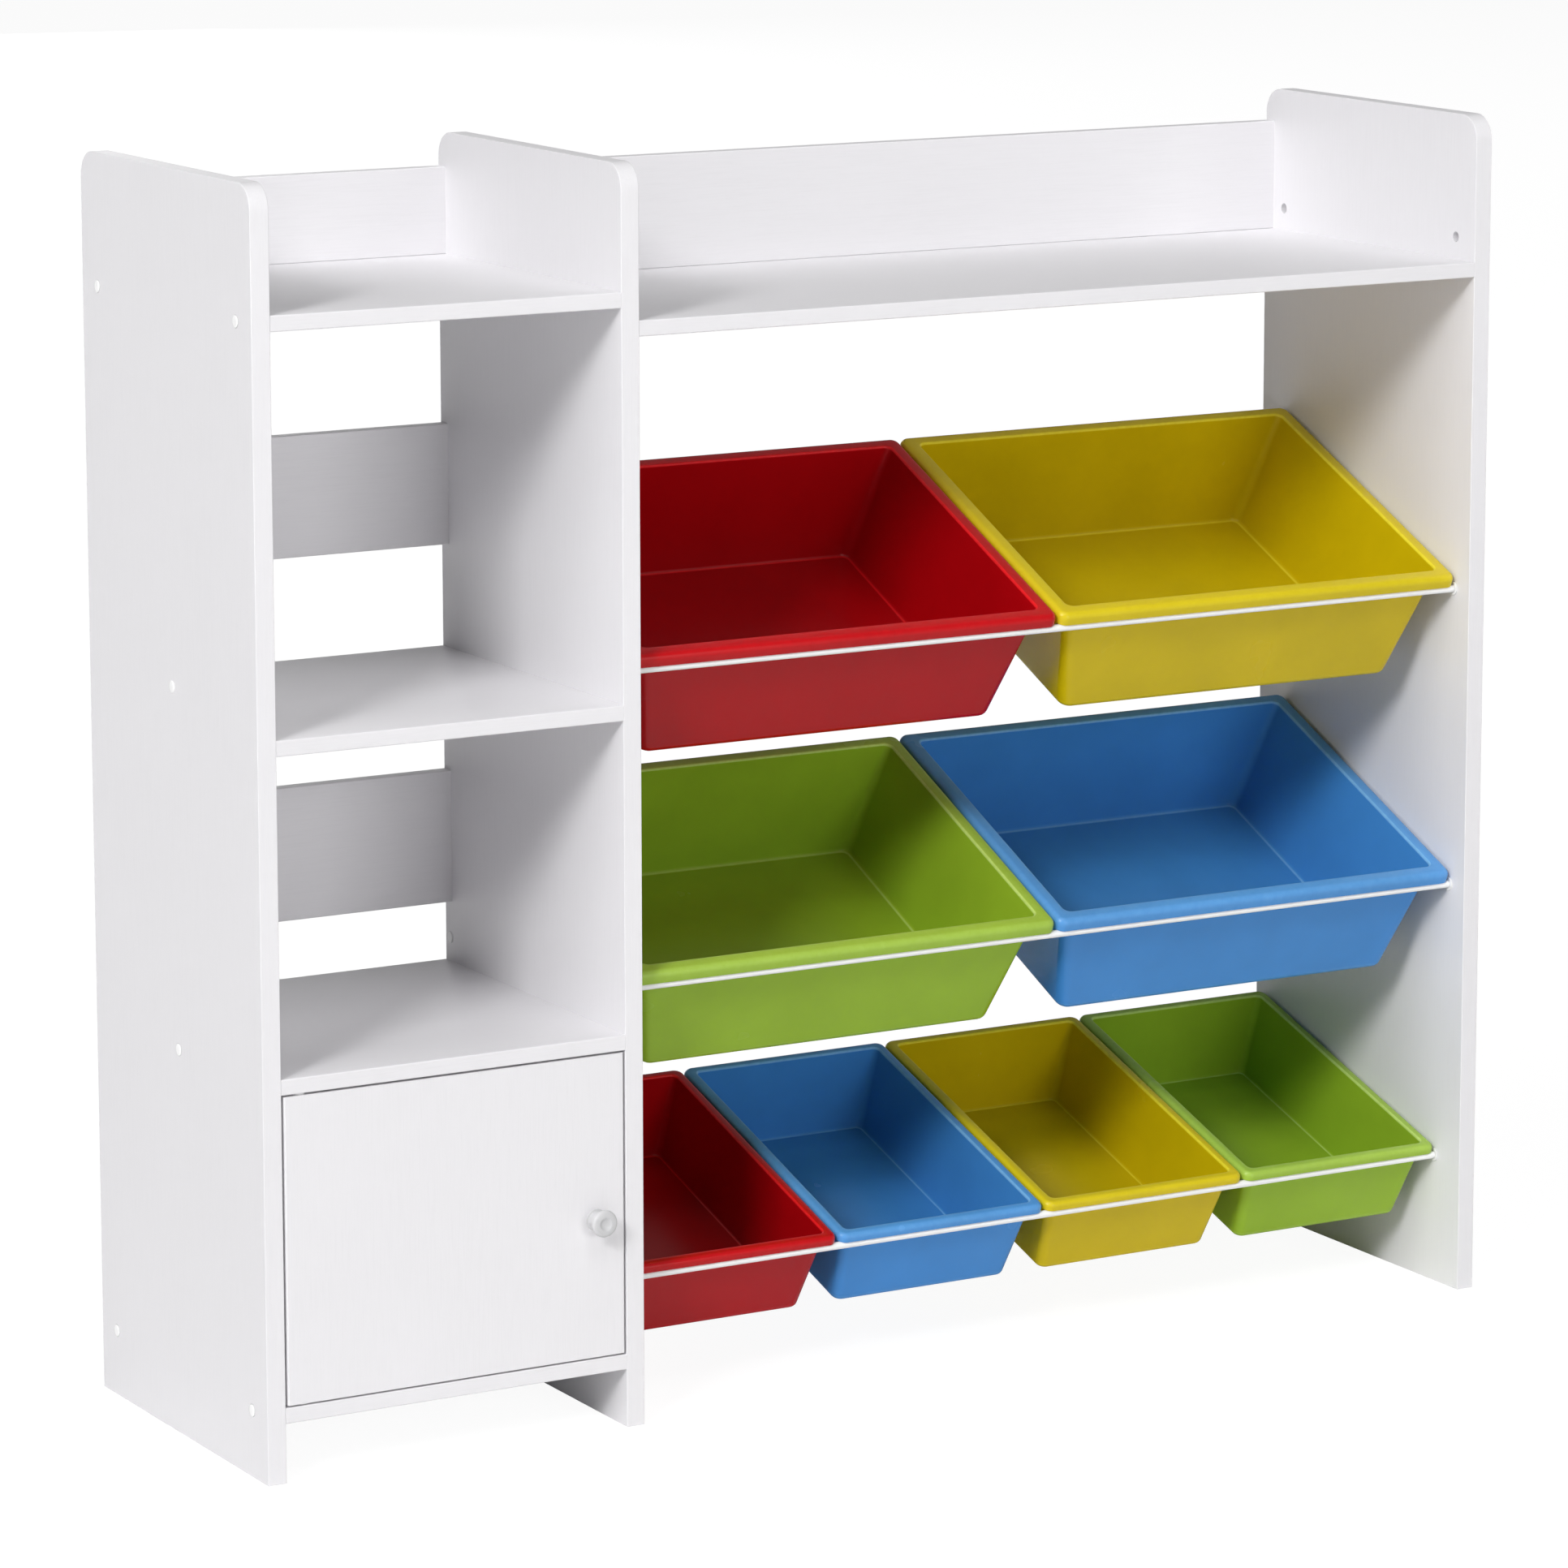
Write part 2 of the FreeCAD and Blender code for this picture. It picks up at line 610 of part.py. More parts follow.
through_hole = turned([(0, -1), (SPARE_HOLE_R + 1, -1), (SPARE_HOLE_R + 1, 0.5),
                       (SPARE_HOLE_R, 0.5), (SPARE_HOLE_R, PANEL_T + 1), (0, PANEL_T + 1)])
spare_tray = [aimed(through_hole, Vector(1, 0, 0), RIGHT_IN, y, SPARE_TRAY_Z) for y in PAIR_Y]

tools = fittings.tools()
pieces["side_panel_left"] = drilled(panel(LEFT_OUT), tools + [spare_shelf, back_board])
pieces["divider_panel"] = drilled(panel(DIVIDER_LEFT),
                                  tools + rod_seats + [spare_strip, back_board])
pieces["side_panel_right"] = drilled(panel(RIGHT_IN), tools + far_seats + spare_tray)

# Level and rear boards
level_boards = {
    "cabinet_bottom_board": (left_span, BOTTOM_BOARD_Z, [pins[1], back_board]),
    "cabinet_top_shelf": (left_span, CABINET_TOP_Z, [pins[0], back_board] + catch_screws),
    "middle_shelf": (left_span, MIDDLE_SHELF_Z, []),
    "left_tray_shelf": (left_span, LEFT_TRAY_Z, []),
    "right_tray_shelf": (right_span, RIGHT_TRAY_Z, []),
}
for name, (span, z, extra) in level_boards.items():
    pieces[name] = drilled(level_board(span, z), tools + extra)
for name, (span, heights) in rear_boards.items():
    pieces[name] = drilled(rear_board(span, heights), tools)
pieces["cabinet_back_board"] = back_board

# Door and what it carries
door = box(DOOR_X, (FRONT, DOOR_REAR), DOOR_Z)
upright_edges = edges_where(door, lambda b: b.ZLength > 1)
door = door.makeFillet(DOOR_EDGE_R, upright_edges)
bush_holes = [
    Part.makeCylinder(BUSH_R, BUSH_LENGTH, Vector(HINGE_X, HINGE_Y, DOOR_Z[1] - BUSH_LENGTH)),
    Part.makeCylinder(BUSH_R, BUSH_LENGTH, Vector(HINGE_X, HINGE_Y, DOOR_Z[0])),
]
pieces["cabinet_door"] = drilled(door, bush_holes + [handle_screw, strike_screw])
pieces["door_knob"] = door_knob(knob_x, handle_screw)
pieces["knob_screw"] = handle_screw
pieces["door_pivot_bushes"] = Part.makeCompound(bushes)
pieces["door_pivot_pins"] = Part.makeCompound(pins)
strike = box(strike_x, (DOOR_REAR, DOOR_REAR + STRIKE_T), strike_z)
pieces["catch_strike_plate"] = strike.cut(strike_screw)
pieces["strike_screw"] = strike_screw
pieces["magnetic_catch"] = drilled(catch_body(catch_x, catch_y), catch_screws)
pieces["catch_screws"] = Part.makeCompound(catch_screws)

# Fittings, each kind a group of separate solids
pieces["rod_end_cups"] = Part.makeCompound(cups)
pieces["assembly_screws"] = Part.makeCompound(fittings.screws)
pieces["screw_caps"] = Part.makeCompound(fittings.caps)
pieces["wooden_dowels"] = Part.makeCompound(fittings.dowels)
pieces["cam_bolts"] = Part.makeCompound(fittings.bolts)
pieces["cam_discs"] = Part.makeCompound(fittings.cams)

os.makedirs("parts", exist_ok=True)
for name, shape in pieces.items():
    assert shape.isValid(), name
    shape.exportStep(f"parts/{name}.step")
    print(f"{name}: {len(shape.Solids)} solid(s), {shape.Volume / 1000:.1f} cm3")
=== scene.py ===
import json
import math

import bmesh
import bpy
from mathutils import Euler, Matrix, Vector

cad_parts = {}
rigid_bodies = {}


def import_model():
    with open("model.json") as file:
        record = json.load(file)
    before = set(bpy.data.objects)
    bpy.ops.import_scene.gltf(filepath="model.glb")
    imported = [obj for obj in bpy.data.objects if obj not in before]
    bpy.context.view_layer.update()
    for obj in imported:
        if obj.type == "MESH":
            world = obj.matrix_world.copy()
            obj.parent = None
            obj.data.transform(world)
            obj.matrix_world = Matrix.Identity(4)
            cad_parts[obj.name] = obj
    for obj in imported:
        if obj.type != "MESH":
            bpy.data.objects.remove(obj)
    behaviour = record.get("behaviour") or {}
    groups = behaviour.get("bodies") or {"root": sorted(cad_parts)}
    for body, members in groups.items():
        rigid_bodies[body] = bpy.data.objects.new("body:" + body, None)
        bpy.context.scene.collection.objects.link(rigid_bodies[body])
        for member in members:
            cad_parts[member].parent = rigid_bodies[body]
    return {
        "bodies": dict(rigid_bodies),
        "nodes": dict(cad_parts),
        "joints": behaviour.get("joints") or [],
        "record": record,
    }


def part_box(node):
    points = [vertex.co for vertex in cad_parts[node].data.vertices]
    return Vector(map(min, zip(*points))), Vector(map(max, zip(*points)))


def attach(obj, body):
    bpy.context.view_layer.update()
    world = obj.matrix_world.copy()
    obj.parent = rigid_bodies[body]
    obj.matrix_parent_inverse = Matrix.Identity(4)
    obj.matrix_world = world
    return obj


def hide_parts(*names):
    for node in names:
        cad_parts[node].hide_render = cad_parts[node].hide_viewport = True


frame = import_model()

# %% [markdown]
# # A toy organizer with sloping bins
# The object is flat-pack furniture: white coated board for everything that
# stands or lies, coloured moulded bins that hang on pairs of white steel rods,
# and a handful of small plastic and metal fittings. The frame that was just
# loaded holds every part at its true place, in metres. This lesson dresses it:
# boards keep their solids and get a laminate, and the pieces whose curves
# show, such as the bins, are modelled again as smooth meshes.

MM = 0.001
nodes = frame["nodes"]
joints = {joint["child"]: joint for joint in frame["joints"]}
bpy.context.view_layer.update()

# %% [markdown]
# ## Finishes
# A finish is a small network of nodes. Every one here starts the same way: a
# Principled shader whose plain numbers are typed straight on its sockets, and
# object coordinates, so that a pattern stays where it is when a piece moves.
# Each helper adds one kind of node, feeds it values or links, and gives the
# output that the next one reads.


# %% A new finish and its nodes
EVEN = (1, 1, 1)             # a pattern that isn't stretched


def new_finish(name, colour, roughness, metallic=0.0):
    """Material with a Principled shader; gives it, its tree and the shader."""
    finish = bpy.data.materials.new(name)
    finish.use_nodes = True
    finish.diffuse_color = (*colour, 1)
    tree = finish.node_tree
    shader = tree.nodes["Principled BSDF"]
    shader.inputs["Base Color"].default_value = (*colour, 1)
    shader.inputs["Roughness"].default_value = roughness
    shader.inputs["Metallic"].default_value = metallic
    return finish, tree, shader


def feed(tree, socket, value):
    """Links an input to another node's output, or types a value on it."""
    if isinstance(value, bpy.types.NodeSocket):
        tree.links.new(value, socket)
    else:
        socket.default_value = value


def plug(tree, node, **inputs):
    """Feeds inputs by name, with _ for a space."""
    for name, value in inputs.items():
        feed(tree, node.inputs[name.replace("_", " ")], value)
    return node


def add_node(tree, kind, **inputs):
    """Adds a node and feeds its inputs."""
    return plug(tree, tree.nodes.new(kind), **inputs)


def object_pattern(tree, scale):
    """Object coordinates stretched by a scale along each axis."""
    place = add_node(tree, "ShaderNodeTexCoord").outputs["Object"]
    return add_node(tree, "ShaderNodeMapping", Vector=place, Scale=scale).outputs["Vector"]


def noise(tree, vector, scale, detail=3.0, rough=0.55):
    """Noise texture read on a vector; gives its grey output."""
    return add_node(tree, "ShaderNodeTexNoise", Vector=vector, Scale=scale, Detail=detail,
                    Roughness=rough).outputs["Fac"]


# %% Colour, range and bump
def ramp(tree, factor, stops):
    """Colour ramp through (position, colour) stops."""
    node = add_node(tree, "ShaderNodeValToRGB", Fac=factor)
    elements = node.color_ramp.elements
    while len(elements) < len(stops):
        elements.new(0.5)
    for element, (position, colour) in zip(elements, stops):
        element.position = position
        element.color = (*colour, 1)
    return node.outputs["Color"]


def ranged(tree, factor, low, high):
    """Factor from 0..1 mapped to low..high."""
    return add_node(tree, "ShaderNodeMapRange", Value=factor, To_Min=low,
                    To_Max=high).outputs["Result"]


def bump(tree, shader, height, strength, distance, after=None):
    """Bump of a height in metres on a shader; gives its normal, for stacking."""
    node = add_node(tree, "ShaderNodeBump", Height=height, Strength=strength,
                    Distance=distance)
    if after:
        plug(tree, node, Normal=after)
    plug(tree, shader, Normal=node.outputs["Normal"])
    return node.outputs["Normal"]


def combined(tree, operation, first, second):
    """Two numbers put together by a Math node."""
    node = add_node(tree, "ShaderNodeMath")
    node.operation = operation
    feed(tree, node.inputs[0], first)
    feed(tree, node.inputs[1], second)
    return node.outputs[0]


# A Mix node has an A, a B and a result for each kind, told apart by number
MIX_SOCKETS = {"FLOAT": (2, 3, 0), "RGBA": (6, 7, 2)}


def mix(tree, kind, factor, first, second):
    """Blend of two numbers or of two colours."""
    node = add_node(tree, "ShaderNodeMix")
    node.data_type = kind
    a, b, result = MIX_SOCKETS[kind]
    for number, value in ((0, factor), (a, first), (b, second)):
        feed(tree, node.inputs[number], value)
    return node.outputs[result]


def attribute(tree, name):
    """Number that the mesh carries under a name."""
    node = add_node(tree, "ShaderNodeAttribute")
    node.attribute_name = name
    return node.outputs["Fac"]


def shade(colour, factor):
    """A colour made lighter or darker."""
    return tuple(min(1.0, channel * factor) for channel in colour)


# %% [markdown]
# ## White laminate
# The boards are chipboard under a white melamine film. Close up it isn't
# plain: the press plate leaves a faint open grain along the board, with a fine
# orange peel between. Grain is noise squeezed across the board and stretched
# along it, so the uprights and the level boards need their own direction. The
# colour moves by only a percent or two, and most of the grain is in the bump
# and the gloss, where the photograph shows it.

# %% Laminate
BOARD_WHITE = (0.80, 0.79, 0.81)
GRAIN_STRETCH = 0.035        # of the pattern along the board, against 1 across it
CLOUD_SHARE = 0.25           # of the colour's change, and the rest is grain


def laminate(name, along):
    """White board whose grain runs along axis 0, 1 or 2."""
    finish, tree, shader = new_finish(name, BOARD_WHITE, 0.42)
    stretch = list(EVEN)
    stretch[along] = GRAIN_STRETCH
    grain = noise(tree, object_pattern(tree, stretch), scale=900.0, detail=4.0, rough=0.6)
    place = object_pattern(tree, EVEN)
    cloud = noise(tree, place, scale=9.0, detail=2.0)
    peel = noise(tree, place, scale=1500.0, detail=2.0)
    colour = ramp(tree, mix(tree, "FLOAT", CLOUD_SHARE, grain, cloud), [
        (0.30, shade(BOARD_WHITE, 0.975)),
        (0.50, BOARD_WHITE),
        (0.72, shade(BOARD_WHITE, 1.012))])
    plug(tree, shader, Base_Color=colour, Roughness=ranged(tree, grain, low=0.36, high=0.52))
    first = bump(tree, shader, grain, strength=0.2, distance=0.0001)
    bump(tree, shader, peel, strength=0.25, distance=0.00008, after=first)
    return finish


upright_board = laminate("laminate_upright", 2)
level_board = laminate("laminate_level", 0)
print("laminate", upright_board.name, level_board.name)

# %% [markdown]
# ## Moulded plastic
# The bins are injection moulded polypropylene: a clean colour, a soft gloss
# that is a little uneven where the mould was polished by hand, and edges that
# catch the light, which is painted: the edges get a lighter colour, partly as
# wear and partly as painted highlight. Edges are told from faces by a number
# that the mesh itself carries, called edge, which the bin's builder writes on
# every point. The material reads it as an attribute, so the painted highlight
# stays on the edge from every side. A second number, matt, marks the
# undersides, which aren't polished and hardly mirror the floor.


# %% Plastic
SHEEN = 0.3                  # specular level of polished plastic
MATT_SHEEN = 0.02            # and where the matt number is 1
MATT_ROUGHNESS = 0.85


def moulded_plastic(name, colour, highlight_and_wear_colour, roughness=0.24):
    """Semi-gloss coloured plastic whose edges are painted lighter, partly as wear and partly
    as painted highlight.
    """
    finish, tree, shader = new_finish(name, colour, roughness)
    matt = attribute(tree, "matt")
    sheen = ranged(tree, matt, low=SHEEN, high=MATT_SHEEN)
    place = object_pattern(tree, EVEN)
    cloud = noise(tree, place, scale=14.0, detail=3.0)
    speck = noise(tree, place, scale=1300.0, detail=2.0)
    scuff = noise(tree, place, scale=160.0, detail=4.0, rough=0.7)
    base = ramp(tree, cloud, [(0.3, shade(colour, 0.94)), (0.7, shade(colour, 1.05))])
    # Painted highlight and wear: the edge number mixes the colour towards a lighter one
    painted_highlight_and_wear = combined(tree, "MULTIPLY", attribute(tree, "edge"),
                    ranged(tree, scuff, low=0.35, high=1.0))
    tone = mix(tree, "RGBA", painted_highlight_and_wear, base, (*highlight_and_wear_colour, 1))
    polish = ranged(tree, cloud, low=roughness - 0.05, high=roughness + 0.07)
    dull = combined(tree, "MAXIMUM", polish, ranged(tree, matt, low=0.0, high=MATT_ROUGHNESS))
    plug(tree, shader, Base_Color=tone, Roughness=dull, Specular_IOR_Level=sheen)
    bump(tree, shader, speck, strength=0.18, distance=0.00006)
    return finish


# %% Colours of the mouldings
# For each, the body colour and the edges' lighter painted highlight and wear
BIN_COLOURS = {
    "red": ((0.40, 0.001, 0.004), (1.0, 0.015, 0.02)),
    "yellow": ((0.60, 0.45, 0.002), (0.96, 0.86, 0.05)),
    "green": ((0.28, 0.45, 0.024), (0.66, 0.86, 0.26)),
    "blue": ((0.056, 0.25, 0.62), (0.28, 0.60, 0.92)),
}
WHITE = ((0.80, 0.80, 0.80), (0.9, 0.9, 0.9))
CAP_WHITE = ((0.96, 0.96, 0.96), (1.0, 1.0, 1.0))
KNOB_GREY = ((0.58, 0.58, 0.59), (0.7, 0.7, 0.7))
bin_finish = {}
for hue, colours in BIN_COLOURS.items():
    bin_finish[hue] = moulded_plastic(f"{hue}_moulded_plastic", *colours)
white_plastic = moulded_plastic("white_moulded_plastic", *WHITE, roughness=0.3)
cap_plastic = moulded_plastic("bright_cap_plastic", *CAP_WHITE, roughness=0.2)
knob_plastic = moulded_plastic("pale_knob_plastic", *KNOB_GREY, roughness=0.3)
print("plastics", sorted(bin_finish), white_plastic.name, cap_plastic.name,
      knob_plastic.name)

# %% [markdown]
# ## Metals and dowels
# The rods are steel under white powder coat, which has a fine orange peel. The
# screws, cams and plates are zinc plated, a cool grey with a slightly blotchy
# gloss. The dowels are beech: a warm base with darker lines along the grain.


# %% Powder coat, zinc and beech
ROD_WHITE = (0.94, 0.94, 0.94)
ZINC_GREY = (0.60, 0.61, 0.63)
BEECH_BROWN = (0.58, 0.36, 0.17)


def powder_coat(name, colour):
    """Baked paint on steel with orange peel."""
    finish, tree, shader = new_finish(name, colour, 0.35)
    place = object_pattern(tree, EVEN)
    peel = noise(tree, place, scale=700.0, detail=2.0)
    cloud = noise(tree, place, scale=25.0)
    tone = ramp(tree, cloud, [(0.3, shade(colour, 0.97)), (0.7, colour)])
    plug(tree, shader, Base_Color=tone, Roughness=ranged(tree, peel, low=0.30, high=0.42))
    bump(tree, shader, peel, strength=0.3, distance=0.00008)
    return finish


def zinc_plate(name, colour):
    """Cool grey plating with an uneven gloss."""
    finish, tree, shader = new_finish(name, colour, 0.34, metallic=1.0)
    place = object_pattern(tree, EVEN)
    blotch = noise(tree, place, scale=260.0, detail=4.0)
    grit = noise(tree, place, scale=2200.0)
    tone = ramp(tree, blotch, [(0.3, shade(colour, 0.86)), (0.7, shade(colour, 1.1))])
    plug(tree, shader, Base_Color=tone, Roughness=ranged(tree, blotch, low=0.26, high=0.46))
    bump(tree, shader, grit, strength=0.15, distance=0.00004)
    return finish


def beech(name, colour):
    """Bare turned wood, grain along X as the dowels lie."""
    finish, tree, shader = new_finish(name, colour, 0.62)
    place = object_pattern(tree, (0.06, 1, 1))
    grain = noise(tree, place, scale=1400.0, detail=4.0)
    tone = ramp(tree, grain, [(0.35, shade(colour, 0.72)), (0.6, colour)])
    plug(tree, shader, Base_Color=tone)
    bump(tree, shader, grain, strength=0.4, distance=0.0001)
    return finish


white_rod = powder_coat("white_powder_coat", ROD_WHITE)
zinc = zinc_plate("zinc_plate", ZINC_GREY)
dowel_wood = beech("beech_dowel", BEECH_BROWN)
print("other finishes", white_rod.name, zinc.name, dowel_wood.name)

# %% [markdown]
# ## Boards that keep their solids
# Level boards, rails, strips, the door and the hidden fittings already have
# the right shape, down to the cam pockets, so they only change material. An
# upright gets grain along Z, a level board along X.


# %% Dress the carried-over nodes
def dress(names, finish):
    """Gives one material to carried-over nodes."""
    for name in names:
        slots = nodes[name].data.materials
        slots.clear()
        slots.append(finish)
    print(finish.name, "on", len(names), "nodes")


dress(["cabinet_bottom_board", "cabinet_top_shelf", "middle_shelf", "left_tray_shelf",
       "right_tray_shelf", "left_tray_rail", "right_tray_rail", "upper_back_strip",
       "lower_back_strip"], level_board)
dress(["cabinet_door", "cabinet_back_board"], upright_board)
dress(["assembly_screws", "cam_bolts", "door_pivot_pins", "knob_screw", "catch_screws",
       "strike_screw"], zinc)
dress(["wooden_dowels"], dowel_wood)
dress(["door_pivot_bushes"], white_plastic)


# %% [markdown]
# ## From points to a finished piece
# Every modelled piece ends the same way: faces turned outwards, its material
# set, its body named, and the node that it stands for hidden.
# One function does that, and another smooths by angle, so that a fillet looks
# round and a corner stays crisp.


# %% From a bmesh to a smooth mesh
def mesh_from(name, bm):
    """Object made from a bmesh, with its normals facing outwards."""
    bmesh.ops.recalc_face_normals(bm, faces=bm.faces)
    mesh = bpy.data.meshes.new(name)
    bm.to_mesh(mesh)
    bm.free()
    piece = bpy.data.objects.new(name, mesh)
    bpy.context.scene.collection.objects.link(piece)
    return piece


def smooth(piece, degrees):
    """Smooth shading, with edges sharper than an angle kept sharp."""
    for polygon in piece.data.polygons:
        polygon.use_smooth = True
    piece.data.set_sharp_from_angle(angle=math.radians(degrees))


def apply_modifiers(piece):
    """Bakes a piece's modifiers into its mesh."""
    shape = piece.evaluated_get(bpy.context.evaluated_depsgraph_get())
    mesh = bpy.data.meshes.new_from_object(shape)
    piece.modifiers.clear()
    piece.data = mesh


def cut_away(piece, bm, overlapping=False):
    """Cuts the solids of a bmesh out of a piece."""
    cutter = mesh_from("cutter", bm)
    cut = piece.modifiers.new("cut", "BOOLEAN")
    cut.operation = "DIFFERENCE"
    cut.solver = "EXACT"
    cut.use_self = overlapping
    cut.object = cutter
    apply_modifiers(piece)
    bpy.data.objects.remove(cutter)


# %% Finish a piece
def finish_piece(piece, body, finish, slot, *replaced):
    """Material, body and the nodes that a piece stands for; the record slot is not used."""
    piece.data.materials.clear()
    piece.data.materials.append(finish)
    if replaced:
        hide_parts(*replaced)
    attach(piece, body)
    print(piece.name, "faces", len(piece.data.polygons))


# %% [markdown]
# ## Upright panels
# A panel is one outline: straight foot, straight sides, and a quarter round at
# each top corner. It is drawn once in the side view and given its thickness,
# and a bevel breaks the edges the way the edge band is trimmed. The panel is
# shaded smooth before the bevel, and hardened normals then keep its faces
# flat. The right panel also has its two open holes, which a Boolean drills
# before the bevel so that their rims are broken too.

# %% Outline and drill
CORNER_R = 20.0 * MM
CORNER_STEPS = 18
PAST_FACE = 5.0 * MM         # how far a drill reaches past both faces
DRILL_SIDES = 40


def panel_outline(low, high):
    """Side-view points (y, z) of a panel with rounded top corners."""
    points = [(low.y, low.z), (high.y, low.z)]
    for centre_y, start in ((high.y - CORNER_R, 0.0), (low.y + CORNER_R, 90.0)):
        for step in range(CORNER_STEPS + 1):
            angle = math.radians(start + 90.0 * step / CORNER_STEPS)
            points.append((centre_y + CORNER_R * math.cos(angle),
                           high.z - CORNER_R + CORNER_R * math.sin(angle)))
    return points


def drill(piece, start, length, radius):
    """Cuts a round hole along +X."""
    bm = bmesh.new()
    place = Matrix.Translation(Vector(start) + Vector((length / 2, 0, 0)))
    place = place @ Matrix.Rotation(math.radians(90), 4, "Y")
    bmesh.ops.create_cone(bm, cap_ends=True, segments=DRILL_SIDES, radius1=radius,
                          radius2=radius, depth=length, matrix=place)
    cut_away(piece, bm)


# %% Panels
EDGE_BREAK = 0.6 * MM
BREAK_OVER = 40              # degrees: an edge sharper than this is broken
NO_SHARP_EDGE = 180


def panel(node, holes=()):
    """Smooth panel in place of a node; holes are (y, z, radius)."""
    low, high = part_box(node)
    bm = bmesh.new()
    side = [bm.verts.new((low.x, y, z)) for y, z in panel_outline(low, high)]
    face = bm.faces.new(side)
    grown = bmesh.ops.extrude_face_region(bm, geom=[face])
    moved = [item for item in grown["geom"] if isinstance(item, bmesh.types.BMVert)]
    bmesh.ops.translate(bm, verts=moved, vec=(high.x - low.x, 0, 0))
    piece = mesh_from(node.replace("panel", "board"), bm)
    for y, z, radius in holes:
        drill(piece, (low.x - PAST_FACE, y, z), high.x - low.x + 2 * PAST_FACE, radius)
    bevel = piece.modifiers.new("broken_edges", "BEVEL")
    bevel.width = EDGE_BREAK
    bevel.segments = 3
    bevel.limit_method = "ANGLE"
    bevel.angle_limit = math.radians(BREAK_OVER)
    bevel.use_clamp_overlap = False
    smooth(piece, NO_SHARP_EDGE)
    bevel.harden_normals = True
    apply_modifiers(piece)
    finish_piece(piece, "shelf_frame", upright_board, "white_laminate", node)


mounts = frame["record"]["mounts"]
spare = next(mount for mount in mounts if mount["name"] == "spare_tray_holes")
half_pitch = spare["dims"]["spacing_x_mm"] * MM / 2
hole_r = spare["dims"]["hole_r_mm"] * MM
hole_y, hole_z = spare["pos_m"][1], spare["pos_m"][2]
panel("side_panel_left")
panel("divider_panel")
panel("side_panel_right", [(hole_y - half_pitch, hole_z, hole_r),
                           (hole_y + half_pitch, hole_z, hole_r)])
print("spare holes, mm apart", round(2 * half_pitch / MM))

# %% [markdown]
# ## Moulded bins
# A bin is a stack of rounded rectangles. Going up the outside of the tub, out
# under the rim, round the turned-down lip, over the rim and down the inside,
# every step is the same loop with another inset, height and corner radius. So
# the bin is a list of such loops joined like a stocking, and each radius on
# the real moulding is a few loops close together, with one more just past it
# that holds the wall beside it flat in the shading. Each loop also carries its
# edge number, with which the material paints a lighter edge, partly as wear and
# partly as painted highlight, and the first few are marked matt.

# %% Sizes of the bins, square to the rim
WALL = 2.2 * MM
RIM_T = 2.5 * MM             # flat part of the rim
LIP_T = 2.2 * MM             # turned-down lip
STOP_H = 2.2 * MM            # how much deeper the lips are between the rods
RIM_R = 8.0 * MM             # corners of the rim, seen from above
MOUTH_R = 1.4 * MM           # rounding where the rim meets the inside
SOFT = 0.5 * MM              # broken edges, and the least corner radius
LARGE = {"length": 274, "depth": 99, "front_y": 13.5, "lip": 10, "roll": 5, "top": 10.3,
         "side": 33, "front": 13.7, "rear": 18.8, "top_r": 8, "bottom_r": 9.5}
SMALL = {"length": 270, "depth": 72, "front_y": 30, "lip": 7, "roll": 4, "top": 6.3,
         "side": 15.5, "front": 16, "rear": 15, "top_r": 7, "bottom_r": 8}
LOOP_STEPS = 10              # in each corner of a loop
UNDERSIDE_LOOPS = 5          # the first loops, which are matt
HOLD = 0.8 * MM              # from a fillet to the loop that holds the wall flat
FILLET_ANGLES = (0, 18, 36, 54, 72, 90)
ROLL_ANGLES = (0, 15, 30, 45, 60, 75, 90)

# Edge numbers, for the painted highlight and wear: 0 is a plain face, 1 is
# the lightest edge
EDGE_BOTTOM = 0.12
EDGE_LIP = 0.1
EDGE_LIP_FOOT = 0.2
EDGE_ROLL = 0.22
EDGE_ROLL_CREST = 0.12       # painted highlight added in the middle of the roll
EDGE_RIM_END = 0.3
# The mouth, round the inside of the rim, gets the brightest painted highlight
EDGE_MOUTH = 0.9
EDGE_FLOOR = 0.5             # the painted highlight along the floor's fillet, a bright line


# %% A loop, and where the wall is at a depth
def loop_points(width, length, insets, radius):
    """Points of a rounded rectangle, drawn in by (side, front, rear) insets."""
    side, front, rear = insets
    x = (side, width - side)
    y = (front, length - rear)
    corners = ((x[1], y[0], -1, 1, 270), (x[1], y[1], -1, -1, 0),
               (x[0], y[1], 1, -1, 90), (x[0], y[0], 1, 1, 180))
    points = []
    for cx, cy, sx, sy, start in corners:
        for step in range(LOOP_STEPS + 1):
            angle = math.radians(start + 90.0 * step / LOOP_STEPS)
            points.append((cx + sx * radius + radius * math.cos(angle),
                           cy + sy * radius + radius * math.sin(angle)))
    return points


def wall_loop(size, down, extra):
    """Insets and corner radius of the drafted wall at a depth, drawn in by extra."""
    share = down / size["depth"]
    insets = []
    for side in ("side", "front", "rear"):
        insets.append(size["top"] + (size[side] - size["top"]) * share + extra)
    radius = size["top_r"] + (size["bottom_r"] - size["top_r"]) * share - extra
    return insets, radius


